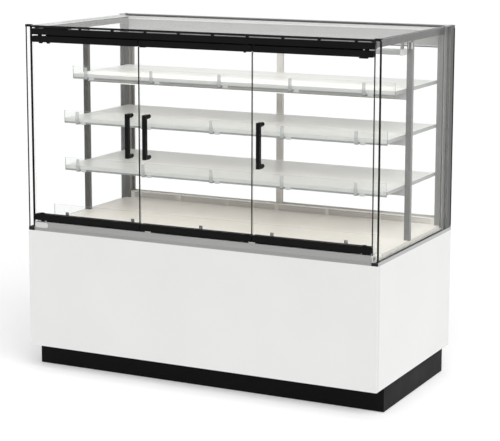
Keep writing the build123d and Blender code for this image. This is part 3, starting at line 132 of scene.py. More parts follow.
class Finish:
    """One material in the making. node() adds any shader node, the rest are short ways to some."""

    def __init__(self, name):
        self.material = bpy.data.materials.new(name)
        self.material.use_nodes = True
        self.tree = self.material.node_tree
        self.tree.nodes.clear()
        self.place = self.node("ShaderNodeTexCoord", output="Object")

    def node(self, kind, settings=None, sockets=None, output=0):
        """Adds a node, makes its settings, then feeds its sockets numbers, colours or links."""
        made = self.tree.nodes.new(kind)
        for key, value in (settings or {}).items():
            setattr(made, key, value)
        for key, value in (sockets or {}).items():
            if isinstance(value, Value):
                self.tree.links.new(value.socket, made.inputs[key])
            else:
                made.inputs[key].default_value = value
        return Value(self, made.outputs[output])

    def maths(self, operation, *parts):
        """Adds a Math node that works on these numbers."""
        return self.node("ShaderNodeMath", {"operation": operation}, dict(enumerate(parts)))

    def axes(self, output="Object"):
        """The three numbers of where a point is on the piece, or of which way its face looks."""
        place = self.place if output == "Object" else self.node("ShaderNodeTexCoord", output=output)
        parts = self.node("ShaderNodeSeparateXYZ", {}, {0: place}).socket.node.outputs
        return [Value(self, socket) for socket in parts]

    def within(self, **limits):
        """1 inside the given limits of x, y and z, 0 outside them."""
        spot = dict(zip("xyz", self.axes()))
        share = 1.0
        for axis, (low, high) in limits.items():
            share = (spot[axis] > low) * (spot[axis] < high) * share
        return share

    def under_shelves(self, low, high):
        """1 between these two depths below the top of any shelf, the lower one first, else 0."""
        height = self.axes()[2]
        share = 0.0
        for top in SHELF_TOPS:
            share = share + (height > top - low) * (height < top - high)
        return share

    def facing(self, axis, sign=0):
        """1 where the face looks along an axis: one way only if sign is 1 or -1, else both ways."""
        look = self.axes("Normal")["xyz".index(axis)]
        return look * sign > 0.5 if sign else abs(look) > 0.5

    def patched(self, shown, patches):
        """A colour with other colours laid over it in turn, each where its share is 1."""
        colour = tone(*shown)
        for share, other in patches:
            colour = self.blend(share, colour, tone(*other))
        return colour

    def shaded(self, colour, factor):
        """A colour made lighter or darker by a number."""
        start = colour if isinstance(colour, Value) else colour[:3]
        return self.node("ShaderNodeVectorMath", {"operation": "SCALE"},
                         {0: start, "Scale": factor})

    def noise(self, size, detail=2.0, stretch=(1, 1, 1), shift=0.0):
        """Cloudy noise whose lumps are about this size, drawn out along an axis by stretch."""
        scale = [1 / (size * longer) for longer in stretch]
        place = self.node("ShaderNodeMapping", {},
                          {"Vector": self.place, "Scale": scale, "Location": (shift,) * 3})
        return self.node("ShaderNodeTexNoise", {},
                         {"Vector": place, "Scale": 1.0, "Detail": detail})

    def scaled(self, value, low, high, bottom=0.0, top=1.0):
        """Turns low to high into bottom to top, and stops there."""
        return self.node("ShaderNodeMapRange", {}, {0: value, 1: low, 2: high, 3: bottom, 4: top})

    def blend(self, share, first, second):
        """A colour between two."""
        return self.node("ShaderNodeMix", {"data_type": "RGBA"}, {0: share, 6: first, 7: second}, 2)

    def bump(self, height, depth):
        """A surface relief this deep."""
        return self.node("ShaderNodeBump", {}, {"Height": height, "Distance": depth}, "Normal")

    def clear(self, *colour):
        """A clear shader that tints what is seen through it."""
        return self.node("ShaderNodeBsdfTransparent", {}, {"Color": (*colour, 1)})

    def principled(self, **sockets):
        """The main surface shader, fed by the names of its sockets in lower case."""
        names = {key.replace("_", " ").title().replace("Ior", "IOR"): value
                 for key, value in sockets.items()}
        return self.node("ShaderNodeBsdfPrincipled", {}, names)

    def over(self, share, under, upper):
        """Two shaders mixed: share 0 shows the first, 1 the second."""
        return self.node("ShaderNodeMixShader", {}, {0: share, 1: under, 2: upper})

    def end(self, shader):
        """Shows the shader on the material, and gives the finished material."""
        out = self.tree.nodes.new("ShaderNodeOutputMaterial")
        self.tree.links.new(shader.socket, out.inputs["Surface"])
        return self.material


# --- Kinds of finish ------------------------------------------------------------------------------
# patches is called with the finish and lists the parts that have another tone, which is their own
# colour unless a comment calls it painted light or shade.


def enamel(name, shown, rough=0.36, patches=lambda f: []):
    """Powder-coated sheet: a faint orange-peel skin, and slow, very small changes of tone."""
    f = Finish(name)
    cloud = f.scaled(f.noise(0.42, 3.0), 0.3, 0.7, 0.965, 1.0)
    peel = f.noise(0.0022, 1.0)
    colour = f.shaded(f.patched(shown, patches(f)), cloud)
    shine = f.scaled(f.noise(0.09, 3.0, shift=3.0), 0.3, 0.7, rough - 0.04, rough + 0.04)
    return f.end(f.principled(base_color=colour, roughness=shine, normal=f.bump(peel, 0.00003)))


def grained(name, shown, along, rough, metallic=1.0, contrast=0.06, patches=lambda f: []):
    """Brushed or drawn metal: hair-fine grain that runs along one axis, with wider soft bands."""
    f = Finish(name)
    fine = f.noise(0.0012, 2.0, [180 if axis == along else 1 for axis in "xyz"])
    wide = f.noise(0.011, 2.0, [60 if axis == along else 1 for axis in "xyz"], 5.0)
    grain = fine * 0.6 + wide * 0.4
    streaks = f.scaled(grain, 0.35, 0.65, 1 - contrast, 1 + contrast)
    colour = f.shaded(f.patched(shown, patches(f)), streaks)
    shine = f.scaled(grain, 0.3, 0.7, rough - 0.07, rough + 0.07)
    normal = f.bump(fine, 0.00002)
    return f.end(f.principled(base_color=colour, roughness=shine, metallic=metallic,
                              normal=normal))


def black_coat(name, shown, rough, grit=0.0009, patches=lambda f: []):
    """Black powder coat or moulded plastic: fine grit in the skin and small changes of shine."""
    f = Finish(name)
    skin = f.noise(grit, 2.0)
    cloud = f.noise(0.12, 3.0)
    lift = f.scaled(cloud * 0.5 + skin * 0.5, 0.4, 0.62, 1.0, 1.5)
    colour = f.shaded(f.patched(shown, patches(f)), lift)
    shine = f.scaled(cloud, 0.3, 0.7, rough - 0.05, rough + 0.06)
    return f.end(f.principled(base_color=colour, roughness=shine, normal=f.bump(skin, 0.00005),
                              specular_ior_level=0.07))


def galvanised(name):
    """Zinc-coated steel: flat crystal spangles, each a little lighter or duller than the next."""
    f = Finish(name)
    per_metre = 90.0
    place = f.node("ShaderNodeMapping", {}, {"Vector": f.place, "Scale": (per_metre,) * 3})
    spangle = f.node("ShaderNodeTexVoronoi", {}, {"Vector": place, "Scale": 1.0}, "Color")
    flake = f.node("ShaderNodeSeparateColor", {}, {0: spangle})
    colour = f.blend(flake, tone(150, 154, 158), tone(184, 188, 191))
    shine = f.scaled(flake, 0.0, 1.0, 0.36, 0.56)
    return f.end(f.principled(base_color=colour, roughness=shine, metallic=0.9))


def finned(name):
    """Coil fins: bright aluminium edges, and between them slightly darker, uneven rows of
    painted shade.
    """
    f = Finish(name)
    rows = f.noise(0.0026, 1.0, (1, 30, 30))
    dust = f.noise(0.05, 3.0)
    share = f.scaled(rows * 0.7 + dust * 0.3, 0.35, 0.65)
    # The darker rows between the fins are painted shade.
    colour = f.blend(share, tone(146, 149, 152), tone(196, 198, 200))
    shine = f.scaled(dust, 0.3, 0.7, 0.34, 0.5)
    return f.end(f.principled(base_color=colour, roughness=shine, metallic=0.9))


def copper(name):
    """Drawn copper tube, a little browner in patches where hands and heat have been."""
    f = Finish(name)
    stain = f.noise(0.025, 4.0)
    colour = f.blend(f.scaled(stain, 0.35, 0.7), tone(196, 124, 88), tone(128, 78, 56))
    shine = f.scaled(stain, 0.3, 0.7, 0.26, 0.46)
    return f.end(f.principled(base_color=colour, roughness=shine, metallic=0.95))


def pane(name, facing, ground, mirrors=(0.012, 0.45), spacers=None, ends=None):
    """Flat clear glass: it mirrors more the flatter it is looked at, with faint wiping smears.

    The mirrored share is the first number of mirrors plus the second times 1 less the cosine of the
    angle to the face, to the fifth. The rims are ground and have a tone of their own. ends gives
    another, paler one for those that look left or right, painted light that lifts their shade, and
    these rims are mostly clear. spacers gives how far from the middle the clear spacers between two
    sheets lie: their rims stay clear, and so do the rear rims, which lie against a post.
    """
    f = Finish(name)
    away = f.node("ShaderNodeLayerWeight", {}, {"Blend": 0.5}, "Facing")
    smear = f.noise(0.06, 4.0, (1, 1, 3))
    see = f.clear(0.9965, 0.999, 0.9975)
    shine = f.scaled(smear, 0.45, 0.7, 0.012, 0.06)
    mirror = f.principled(base_color=tone(250, 252, 251), metallic=1.0, roughness=shine)
    sheet = f.over(mirrors[0] + mirrors[1] * away ** 5, see, mirror)
    streak = f.noise(0.004, 2.0, (1, 1, 12))
    looks = f.axes("Normal")
    darker, lighter = (tone(*(part + change for part in ground)) for change in (-10, 10))
    colour = f.blend(f.scaled(streak, 0.35, 0.65), darker, lighter)
    share = abs(looks["xyz".index(facing)]) < 0.5
    # Rims that look left or right get a pale tone of painted light that lifts their shade, and are
    # mostly clear.
    if ends:
        sideways = abs(looks[0]) > 0.5
        colour = f.blend(sideways, colour, tone(*ends))
        share = share * (1 - 0.75 * sideways)
    edge = f.principled(base_color=colour, roughness=0.3)
    if spacers:
        spot = f.axes()
        across = abs(spot["xyz".index(facing)])
        share = share * (1 - (across > spacers[0]) * (across < spacers[1]))
        share = share * (spot[1] < GLASS_REAR - 0.001)
    return f.end(f.over(share, sheet, edge))


def acrylic(name):
    """Cast clear plastic: clear faces, and rims in painted light and shade: a pale top rim, a
    darker underside and darker ends. A grey lip below each shelf.
    """
    f = Finish(name)
    away = f.node("ShaderNodeLayerWeight", {}, {"Blend": 0.5}, "Facing")
    see = f.clear(0.985, 0.99, 0.986)
    haze = f.noise(0.05, 3.0)
    shine = f.scaled(haze, 0.3, 0.7, 0.05, 0.16)
    body = f.principled(base_color=tone(226, 229, 227), roughness=shine)
    sheet = f.over(0.03 + 0.4 * away ** 5, see, body)
    lip = f.under_shelves(0.0201, 0.0138)
    # Painted light and shade on the rims: pale on top, darker underneath and at the ends.
    shown = f.patched((236, 240, 237), [
        (f.facing("z", -1), (150, 153, 151)), (f.facing("x"), (112, 116, 114)),
        (lip, (164, 166, 165))])
    shown = f.shaded(shown, f.scaled(haze, 0.3, 0.7, 0.95, 1.0))
    edge = f.principled(base_color=shown, roughness=0.25)
    solid = f.maths("MAXIMUM", 1 - f.facing("y"), lip)
    return f.end(f.over(solid * 0.8, sheet, edge))


def clip_plastic(name):
    """Moulded clear clip: half see-through, with painted shade: greyer in its foot, which lies
    below the fence, and much greyer on the deck, whose clips all end less than 0.1 above it."""
    f = Finish(name)
    cloud = f.scaled(f.noise(0.012, 2.0), 0.3, 0.7, 0.93, 1.0)
    on_deck = f.axes()[2] < DECK_TOP + 0.1
    # Painted shade: the foot below the fence and the clips on the deck are greyer.
    shown = f.patched((214, 216, 215), [
        (f.under_shelves(0.0235, 0.0199), (136, 138, 137)), (on_deck, (92, 94, 93))])
    see = f.clear(0.93, 0.94, 0.935)
    body = f.principled(base_color=f.shaded(shown, cloud), roughness=0.28)
    return f.end(f.over(0.62, see, body))


def diffuser(name, strength=5.0, pitch=0.02, sideways=0.15):
    """Opal lamp cover: warm-white light, a touch dimmer between the lights behind it, which sit at
    this pitch. sideways is how much of it leaves the faces that don't look up or down."""
    f = Finish(name)
    wave = f.maths("SINE", f.axes()[0] * (2 * math.pi / pitch))
    glow = f.blend(f.scaled(wave, -1.0, 1.0), (1.0, 0.955, 0.88, 1), (1.0, 0.975, 0.93, 1))
    glow = f.shaded(glow, f.scaled(f.facing("z"), 0.0, 1.0, sideways, 1.0))
    return f.end(f.principled(base_color=tone(240, 240, 236), roughness=0.5, emission_color=glow,
                              emission_strength=strength))


def rubber(name, shown, patches=lambda f: []):
    """Extruded seal: matt, with a drawn texture and a little bloom."""
    f = Finish(name)
    bloom = f.noise(0.05, 3.0)
    grit = f.noise(0.0007, 2.0)
    colour = f.shaded(f.patched(shown, patches(f)), f.scaled(bloom, 0.35, 0.7, 0.95, 1.2))
    shine = f.scaled(bloom, 0.3, 0.7, 0.55, 0.72)
    return f.end(f.principled(base_color=colour, roughness=shine, normal=f.bump(grit, 0.00006),
                              specular_ior_level=0.12))


# --- Finishes of the nodes ------------------------------------------------------------------------

FINISHES = {
    "white_enamel": enamel("white_enamel", grey(241)),
    "grey_paint": enamel("grey_paint", (150, 154, 158), 0.45),
    "black_kick": black_coat("black_kick", (12, 12, 12), 0.5),
    "galvanised_steel": galvanised("galvanised_steel"),
    # The sill's ends and top are painted lighter than its front: painted light on the faces that
    # look sideways and up.
    "sill_aluminium": grained("sill_aluminium", grey(160), "x", 0.36, patches=lambda f: [
        (f.facing("x"), grey(222)), (f.facing("z", 1), grey(188))]),
    "channel_aluminium": grained("channel_aluminium", (186, 187, 187), "y", 0.36, 0.7),
    "bright_metal": grained("bright_metal", (186, 187, 187), "x", 0.3),
    "badge_metal": grained("badge_metal", grey(206), "x", 0.28),
    "glass_clear": pane("glass_clear", "y", (40, 42, 41), ends=(226, 230, 228)),
    "fence_acrylic": acrylic("fence_acrylic"),
    "black_aluminium": black_coat("black_aluminium", (14, 14, 14), 0.42, 0.0006),
    "black_rubber": rubber("black_rubber", (14, 14, 15)),
    "black_plastic": black_coat("black_plastic", (24, 24, 25), 0.46, 0.0012),
    "white_plastic": enamel("white_plastic", (228, 229, 227), 0.5),
    "lamp_white": diffuser("lamp_white"),
    "clip_plastic": clip_plastic("clip_plastic"),
    "compressor_black": black_coat("compressor_black", (24, 24, 25), 0.28, 0.002),
    "copper_line": copper("copper_line"),
    "coil_aluminium": finned("coil_aluminium"),
}

# Spans of x, y and z that have another tone; most of these tones are painted light and shade, as
# the finishes below say.
LEFT_X, RIGHT_X = (-1.0, 0.0), (0.0, 1.0)
PANEL_EDGE_Y = (-0.371, -0.352)
GRILLE_END_X = 0.664
SPACER_X = (0.7272, 0.7428)
UPRIGHT_Y = (0.33, 0.40)  # the rear uprights; the middle ones lie in front of them
RAIL_Z, RAIL_TOP_Z = (1.346, 1.38), (1.3715, 1.38)
# A strip of painted shade on the right post.
POST_SHADE_STRIP_X = (0.7350, 0.7485)  # the outer half of the right post's front and rear
LEFT_POST_X, LEFT_POST_Y = (-0.7485, -0.7228), (0.347, 0.3495)  # the left post's front
# Spans of the rear beam's painted lit top, painted lit band at its lip and painted shaded foot.
BEAM_LIT_TOP_Z, BEAM_LIT_LIP_Z, BEAM_SHADED_FOOT_Z = (1.3615, 1.38), (1.2988, 1.3045), (1.29, 1.2988)
LEFT_STILE_X = (-1.0, -0.688)
INNER_WALL_X, INNER_WALL_Z = 0.7231, (0.5702, 0.6)  # the gaskets' walls on the deck's side
CAP_REAR_Y, CAP_FOOT_Z = (0.3, 0.5), (0.5, 0.6)
LEFT_SEAL_X, RIGHT_SEAL_X, REAR_SEAL_Y = (-0.8, -0.7214), (0.7214, 0.8), (0.35, 0.5)

OWN_FINISHES = {
    # The front panel's ends are painted a little darker than its front: painted shade.
    "front_panel": enamel("front_panel_enamel", grey(234), patches=lambda f: [
        (f.facing("x"), grey(230))]),
    "side_panels": enamel("side_panel_enamel", grey(241), patches=lambda f: [
        (f.within(y=PANEL_EDGE_Y) * f.facing("x"), grey(235))]),
    "front_air_grille": black_coat("grille_plastic", (24, 24, 25), 0.46, 0.0012, lambda f: [
        (abs(f.axes()[0]) > GRILLE_END_X, (240, 237, 231))]),
    "end_glass": pane("end_glass", "x", (206, 210, 208), (0.006, 0.1), spacers=SPACER_X),
    "top_glass": pane("top_glass", "z", (62, 66, 64), (0.012, 0.22), ends=(216, 219, 217)),
    # The trays' ends are painted grey, darker than their tops: painted shade.
    "shelf_trays": enamel("shelf_tray_enamel", (238, 237, 234), patches=lambda f: [
        (f.facing("x"), grey(180))]),
    "shelf_beams": enamel("shelf_beam_enamel", grey(184)),
    # The riser and the deck are painted brighter and warmer than the white enamel: painted lamp
    # light.
    "rear_riser": enamel("riser_enamel", (254, 251, 247), 0.5),
    "deck_panels": enamel("deck_enamel", (255, 250, 243), 0.42),
    # Painted light and shade: the frame tube takes lighter and darker tones by side, by span and by
    # the way each face looks, and the rail tops are painted lit.
    "side_frames": grained("frame_tube", (81, 80, 78), "z", 0.5, 0.35, 0.04, lambda f: [
        (f.within(x=RIGHT_X), grey(124)),
        (f.within(x=RIGHT_X) * f.facing("x", 1), grey(140)),
        (f.within(x=RIGHT_X, y=UPRIGHT_Y), grey(146)),
        (f.within(x=RIGHT_X, z=RAIL_Z) * f.facing("x", 1), grey(105)),
        (f.within(x=LEFT_X, y=UPRIGHT_Y), (101, 100, 98)),
        (f.within(x=LEFT_X) * f.facing("x", 1), (99, 95, 90)),
        (f.within(x=LEFT_X, y=UPRIGHT_Y) * f.facing("x", 1), (127, 122, 116)),
        (f.within(z=RAIL_TOP_Z) * f.facing("z", 1), grey(236))]),
    # Painted shade: darker strips on the posts' fronts and rears, darker side faces, and a darker
    # strip on the left post's front.
    "rear_corner_posts": grained("post_aluminium", grey(178), "z", 0.5, 0.35, 0.04, lambda f: [
        (f.within(x=POST_SHADE_STRIP_X), grey(128)), (f.facing("x"), grey(86)),
        (f.within(x=LEFT_POST_X, y=LEFT_POST_Y), grey(132))]),
    # Painted light and shade: a lit top, a lit band at the lip and a shaded foot.
    "rear_beam": grained("rear_beam_aluminium", grey(172), "x", 0.5, 0.35, 0.02, lambda f: [
        (f.within(z=BEAM_LIT_TOP_Z), grey(232)), (f.within(z=BEAM_LIT_LIP_Z), grey(196)),
        (f.within(z=BEAM_SHADED_FOOT_Z), grey(84))]),
    # The tracks' tops are painted lighter: painted light.
    "rear_door_tracks": grained("track_aluminium", grey(150), "x", 0.46, 0.4, 0.03, lambda f: [
        (f.facing("z", 1), grey(226))]),
    # The left stile's face that looks to the front is painted darker: painted shade.
    "rear_door_frame_left": enamel("sliding_frame_enamel", (228, 225, 220), 0.44, lambda f: [
        (f.within(x=LEFT_STILE_X) * f.facing("y", -1), (164, 161, 157))]),
    "canopy_lamp": grained("canopy_aluminium", grey(184), "x", 0.46, 0.4, 0.02),
    # The gaskets' walls on the deck's side are painted pale like the lamp-lit deck: painted light.
    "glazing_gaskets": rubber("gasket_rubber", grey(96), lambda f: [
        ((abs(f.axes()[0]) < INNER_WALL_X) * f.within(z=INNER_WALL_Z), (244, 241, 235))]),
    "front_door_pivots_left": black_coat("pivot_black", (14, 14, 14), 0.5, 0.0012),
    "corner_caps": black_coat("cap_plastic", (22, 22, 23), 0.46, 0.0012, lambda f: [
        (f.within(y=CAP_REAR_Y), grey(190)), (f.within(z=CAP_FOOT_Z), grey(38))]),
    # Painted light: the black seals take lighter tones on the right, on the left, on the right's
    # tops and at the rear.
    "top_glass_seals": rubber("top_seal_rubber", (26, 26, 27), lambda f: [
        (f.within(x=RIGHT_SEAL_X), grey(92)), (f.within(x=LEFT_SEAL_X), (220, 222, 221)),
        (f.within(x=RIGHT_SEAL_X) * f.facing("z", 1), (206, 208, 207)),
        (f.within(y=REAR_SEAL_Y), grey(134))]),
}
OWN_FINISHES["rear_door_frame_right"] = OWN_FINISHES["rear_door_frame_left"]
for side in ("centre", "right"):
    OWN_FINISHES[f"front_door_pivots_{side}"] = OWN_FINISHES["front_door_pivots_left"]
for part in frame["record"]["subparts"]:
    node = nodes[part["node"]]
    coat = OWN_FINISHES.get(part["node"]) or FINISHES[part["material_slot"]]
    for spot in range(len(node.data.materials)):
        node.data.materials[spot] = coat


# --- Surfaces -------------------------------------------------------------------------------------


def surface(grid, ends=True):
    """The faces of a grid of points, each row a closed ring. Quads join each row to the next, the
    first and last rows are filled, or joined to each other if ends is False, and all faces point
    outwards."""
    spots = np.arange(grid.shape[0] * grid.shape[1]).reshape(grid.shape[:2])
    here = spots[:-1] if ends else spots
    there = spots[1:] if ends else np.roll(spots, -1, 0)
    quads = np.stack([here, np.roll(here, -1, 1), np.roll(there, -1, 1), there], -1).reshape(-1, 4)
    corners = (grid - grid.mean((0, 1))).reshape(-1, 3)[quads]
    crossed = np.cross(corners[:, 1] - corners[:, 0], corners[:, 2] - corners[:, 0])
    inside_out = (crossed * corners[:, 0]).sum() < 0
    faces = (quads[:, ::-1] if inside_out else quads).tolist()
    if ends:
        caps = [spots[0, ::-1], spots[-1]]
        faces += [(cap[::-1] if inside_out else cap).tolist() for cap in caps]
    return grid.reshape(-1, 3), faces


def rounded_outline(half, corner, drawn_in, turns):
    """A rounded rectangle: each corner's centre, half the size less the radius, plus the radius
    times the cosine and sine of an angle that goes once round. drawn_in makes one ring for each
    amount by which it shrinks."""
    quarter = np.repeat(np.arange(4), turns + 1)
    angle = np.radians(90 * quarter + np.tile(np.linspace(0, 90, turns + 1), 4))
    right, up = (quarter == 0) | (quarter == 3), quarter < 2
    signs = np.stack([np.where(right, 1, -1), np.where(up, 1, -1)], -1)
    centres = signs * (np.array(half) - corner)
    radii = (corner - np.asarray(drawn_in))[:, None, None]
    return centres + radii * np.stack([np.cos(angle), np.sin(angle)], -1)


def bar(low, high, along, corner, turns=3):
    """A straight bar that fills a box. Its rounded outline is carried along one axis, and drawn in
    at both ends by a quarter circle of almost its corner radius, so that every edge is soft."""
    order = ["yzx", "zxy", "xyz"]["xyz".index(along)]
    axes = ["xyz".index(letter) for letter in order]
    low, high = np.array(low), np.array(high)
    angle = np.radians(np.linspace(0, 90, turns + 1))
    soft = corner * 0.98
    shrink = soft * (1 - np.sin(angle))
    travel = soft * (1 - np.cos(angle))
    drawn_in = np.concatenate([shrink, shrink[::-1]])
    place = np.concatenate([low[axes[2]] + travel, high[axes[2]] - travel[::-1]])
    middle, half = (low + high) / 2, (high - low) / 2
    outline = rounded_outline(half[axes[:2]], corner, drawn_in, turns)
    grid = np.empty((len(place), 4 * (turns + 1), 3))
    grid[:, :, axes[:2]] = outline + middle[axes[:2]]
    grid[:, :, axes[2]] = place[:, None]
    return surface(grid)


def spanned(x, y, z, along, corner, turns=3):
    """A bar, given by both its ends on each axis."""
    return bar((x[0], y[0], z[0]), (x[1], y[1], z[1]), along, corner, turns)


def button(middle, radius, rise, steps=6, around=24, sunk=0.0005):
    """A round domed button that stands out to the rear: circles whose radius is the radius times
    the cosine, and whose height is the rise times the sine, of an angle that goes from 0 to just
    under 90 degrees. One more circle lies sunk in the face behind them."""
    angle = np.radians(np.append(np.linspace(0, 86, steps), 86))
    turn = np.linspace(0, 2 * np.pi, around, endpoint=False)
    wide = radius * np.cos(angle)[:, None]
    out = np.repeat((rise * np.sin(angle))[:, None], around, 1)
    grid = np.stack([wide * np.cos(turn), out, wide * np.sin(turn)], -1)
    grid = np.concatenate([grid[:1] - (0, sunk, 0), grid[:-1]])
    return surface(grid + np.array(middle))


def rim(middle, half, corner, thick, turns=5, around=8):
    """A rounded frame that lies flat on a rear face: a circle of this radius, as seen in section,
    is carried once round a rounded rectangle in x and z and closes on itself."""
    turn = np.linspace(0, 2 * np.pi, around, endpoint=False)
    rings = rounded_outline(half, corner, thick * np.cos(turn), turns)
    out = np.repeat((thick * np.sin(turn))[:, None], rings.shape[1], 1)
    grid = np.stack([rings[..., 0], out, rings[..., 1]], -1)
    return surface(np.swapaxes(grid, 0, 1) + np.array(middle), ends=False)


def piece(name, shapes, slot, body="cabinet", coat=None):
    """Makes one piece of several shapes in the finish of its slot, or in a coat of its own, and
    lets it ride on a body."""
    points, faces = [], []
    for spots, sides in shapes:
        start = sum(len(made) for made in points)
        points.append(spots)
        faces += [[start + corner for corner in side] for side in sides]
    mesh = bpy.data.meshes.new(name)
    mesh.from_pydata(np.concatenate(points).tolist(), [], faces)
    mesh.polygons.foreach_set("use_smooth", [True] * len(mesh.polygons))
    mesh.set_sharp_from_angle(angle=math.radians(40))
    made = bpy.data.objects.new(name, mesh)
    bpy.context.scene.collection.objects.link(made)
    mesh.materials.append(coat or FINISHES[slot])
    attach(made, body)


def mirrored(low, high):
    """The same box on the right of the middle and on the left."""
    return [(low, high), ((-high[0], *low[1:]), (-low[0], *high[1:]))]


def on_side(side, low, high):
    """A box on the right of the middle if side is 1, or the same box on the left if it is -1."""
    return mirrored(low, high)[0 if side > 0 else 1]


# --- Pieces that the frame carries ----------------------------------------------------------------


def glass_beads(half=0.0019, proud=0.0016, lap=0.0012, thick=0.0006, sunk=0.0002, depth=0.0080):
    """Black beads on the front rims of the end panes, this proud of them and lapping this far back.
    Each has a return of this thickness and depth, a little sunk in the face of its pane that looks
    away from the other pane. The inner bead on the right starts above the sill, and the others
    start above the lower corner caps. All end under the upper ones."""
    above_caps, return_bottom, above_sill, top = 0.5772, 0.5795, SILL_TOP + 0.0005, 1.3728
    shapes = []
    for side, middle, bottom, out in ((1, OUTER_PANE_X, above_caps, 1),
                                      (-1, OUTER_PANE_X, above_caps, 1),
                                      (1, INNER_PANE_X, above_sill, -1),
                                      (-1, INNER_PANE_X, above_caps, -1)):
        low = (middle - half, GLASS_FRONT - proud, bottom)
        high = (middle + half, GLASS_FRONT + lap, top)
        shapes.append(bar(*on_side(side, low, high), "z", 0.0009))
        face = middle + out * HALF_PANE
        before, beyond = (sunk, thick) if out > 0 else (thick, sunk)
        low = (face - before, GLASS_FRONT - thick, max(bottom, return_bottom))
        high = (face + beyond, GLASS_FRONT + depth, top)
        shapes.append(bar(*on_side(side, low, high), "z", 0.00035))
    piece("end_glass_beads", shapes, "black_rubber")


def sill_ends():
    """Plates that close the two ends of the sill, just inside the end glass."""
    x, y, z = (0.7194, 0.7206), (FRONT + 0.0024, FRONT + 0.0456), (0.5782, SILL_TOP - 0.0004)
    ends = mirrored((x[0], y[0], z[0]), (x[1], y[1], z[1]))
    piece("sill_ends", [bar(*pair, "x", 0.0005) for pair in ends], "sill_aluminium")


def header_spacers():
    """Black packing between the header and the top glass, near the left end."""
    y, z = (FRONT + 0.0045, FRONT + 0.0240), (1.3668, 1.3722)
    shapes = [spanned(x, y, z, "x", 0.0012) for x in ((-0.6680, -0.6525), (-0.6435, -0.5620))]
    piece("header_spacers", shapes, "black_rubber")


def seam_light_blocks():
    """Pale blocks on the sill near the seams between the doors, in gaps of the wipers: painted
    light, standing in for the light seen through the seams.
    """
    low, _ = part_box("front_door_rails_centre")
    y, z = (low[1] + 0.0030, low[1] + 0.0060), (SILL_TOP - 0.0002, SILL_TOP + 0.0040)
    # Painted light: pale blocks where light shows through the seams.
    shapes = [spanned(x, y, z, "x", 0.0008) for x in ((-0.2182, -0.1928), (0.2272, 0.2536))]
    piece("seam_light_blocks", shapes, "white_plastic")


def post_edges():
    """Black edge strips on the outer faces of the rear corner posts."""
    x, y, z = (0.7484, 0.7497), (REAR - 0.0125, REAR - 0.0003), (0.5830, 1.3700)
    ends = mirrored((x[0], y[0], z[0]), (x[1], y[1], z[1]))
    piece("corner_post_edges", [bar(*pair, "z", 0.0005) for pair in ends], "black_rubber")


def lamp_ends():
    """White moulded caps on the two ends of the canopy lamp, and the pale ribs of its hooks on the
    uprights."""
    shapes = []
    y, z = (FRONT + 0.3762, FRONT + 0.3784), (1.3160, 1.3410)
    for x in ((0.7036, 0.7072), (0.7166, 0.7212)):
        ribs = mirrored((x[0], y[0], z[0]), (x[1], y[1], z[1]))
        shapes += [bar(*pair, "z", 0.0008) for pair in ribs]
    x, y, z = (0.6925, 0.6992), (FRONT + 0.320, FRONT + 0.3775), (1.2935, 1.3175)
    caps = mirrored((x[0], y[0], z[0]), (x[1], y[1], z[1]))
    shapes += [bar(*pair, "x", 0.0024) for pair in caps]
    piece("canopy_lamp_ends", shapes, "white_plastic")


def shelf_studs(beside=0.026, half=0.011):
    """Pale studs that hold each shelf's fence to its lip, one beside every clip."""
    shapes = []
    for top, setback in zip(SHELF_TOPS, SHELF_SETBACKS):
        face = FRONT + setback - FENCE_THICK
        y, z = (face - 0.0016, face + 0.0035), (top - 0.0235, top - 0.0120)
        for x in FIRST_CLIP_X + CLIP_PITCH * np.arange(CLIPS) + beside:
            shapes.append(spanned((x - half, x + half), y, z, "x", 0.0012, 2))
    stud_plastic = enamel("stud_plastic", (208, 209, 207), 0.5)
    piece("shelf_studs", shapes, "white_plastic", coat=stud_plastic)


def door_trim(name, sealed, clamps, foot_clamps, wipers, foot_wipers):
    """A door's soft edge seal, the wipers that close the gaps over and under it and, being black,
    also paint the shade in those gaps, and the small black clamps that grip its pane under the top
    rail and over the bottom rail.

    A wiper is given by both its ends, and a clamp by its middle and its width. The ones under the
    top rail also say how much less far down they reach.
    """
    pane_low, pane_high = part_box(f"front_door_pane_{name}")
    rail_low, rail_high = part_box(f"front_door_rails_{name}")
    pane_y = (pane_low[1] - 0.0008, pane_high[1] + 0.0008)
    shapes = []
    if sealed:
        x = (pane_high[0] - 0.0012, pane_high[0] + 0.0012)
        z = (rail_low[2] + 0.0262, rail_high[2] - 0.0242)
        shapes.append(spanned(x, pane_y, z, "z", 0.0008))
    # The wipers are black seals in the gaps over and under the door that also paint the shade in
    # those gaps.
    lap, reach = 0.0006, 0.0046
    y = (rail_high[1] - 0.0050, rail_high[1] - 0.0028)
    z = (rail_high[2] - lap, rail_high[2] + reach)
    shapes += [spanned(x, y, z, "x", 0.0006) for x in wipers]
    y = (rail_low[1] + 0.0030, rail_low[1] + 0.0052)
    z = (rail_low[2] - reach, rail_low[2] + lap)
    shapes += [spanned(x, y, z, "x", 0.0006) for x in foot_wipers]
    piece(f"front_door_seals_{name}", shapes, "black_rubber", f"front_door_{name}")
    y = (pane_y[0] - 0.001, pane_y[1] + 0.001)
    grips = []
    for x, width, higher in clamps:
        z = (rail_high[2] - 0.0290 + higher, rail_high[2] - 0.0225)
        grips.append(spanned((x - width / 2, x + width / 2), y, z, "x", 0.0016))
    for x, width in foot_clamps:
        z = (rail_low[2] + 0.0245, rail_low[2] + 0.0300)
        grips.append(spanned((x - width / 2, x + width / 2), y, z, "x", 0.0016))
    piece(f"front_door_clamps_{name}", grips, "black_aluminium", f"front_door_{name}")


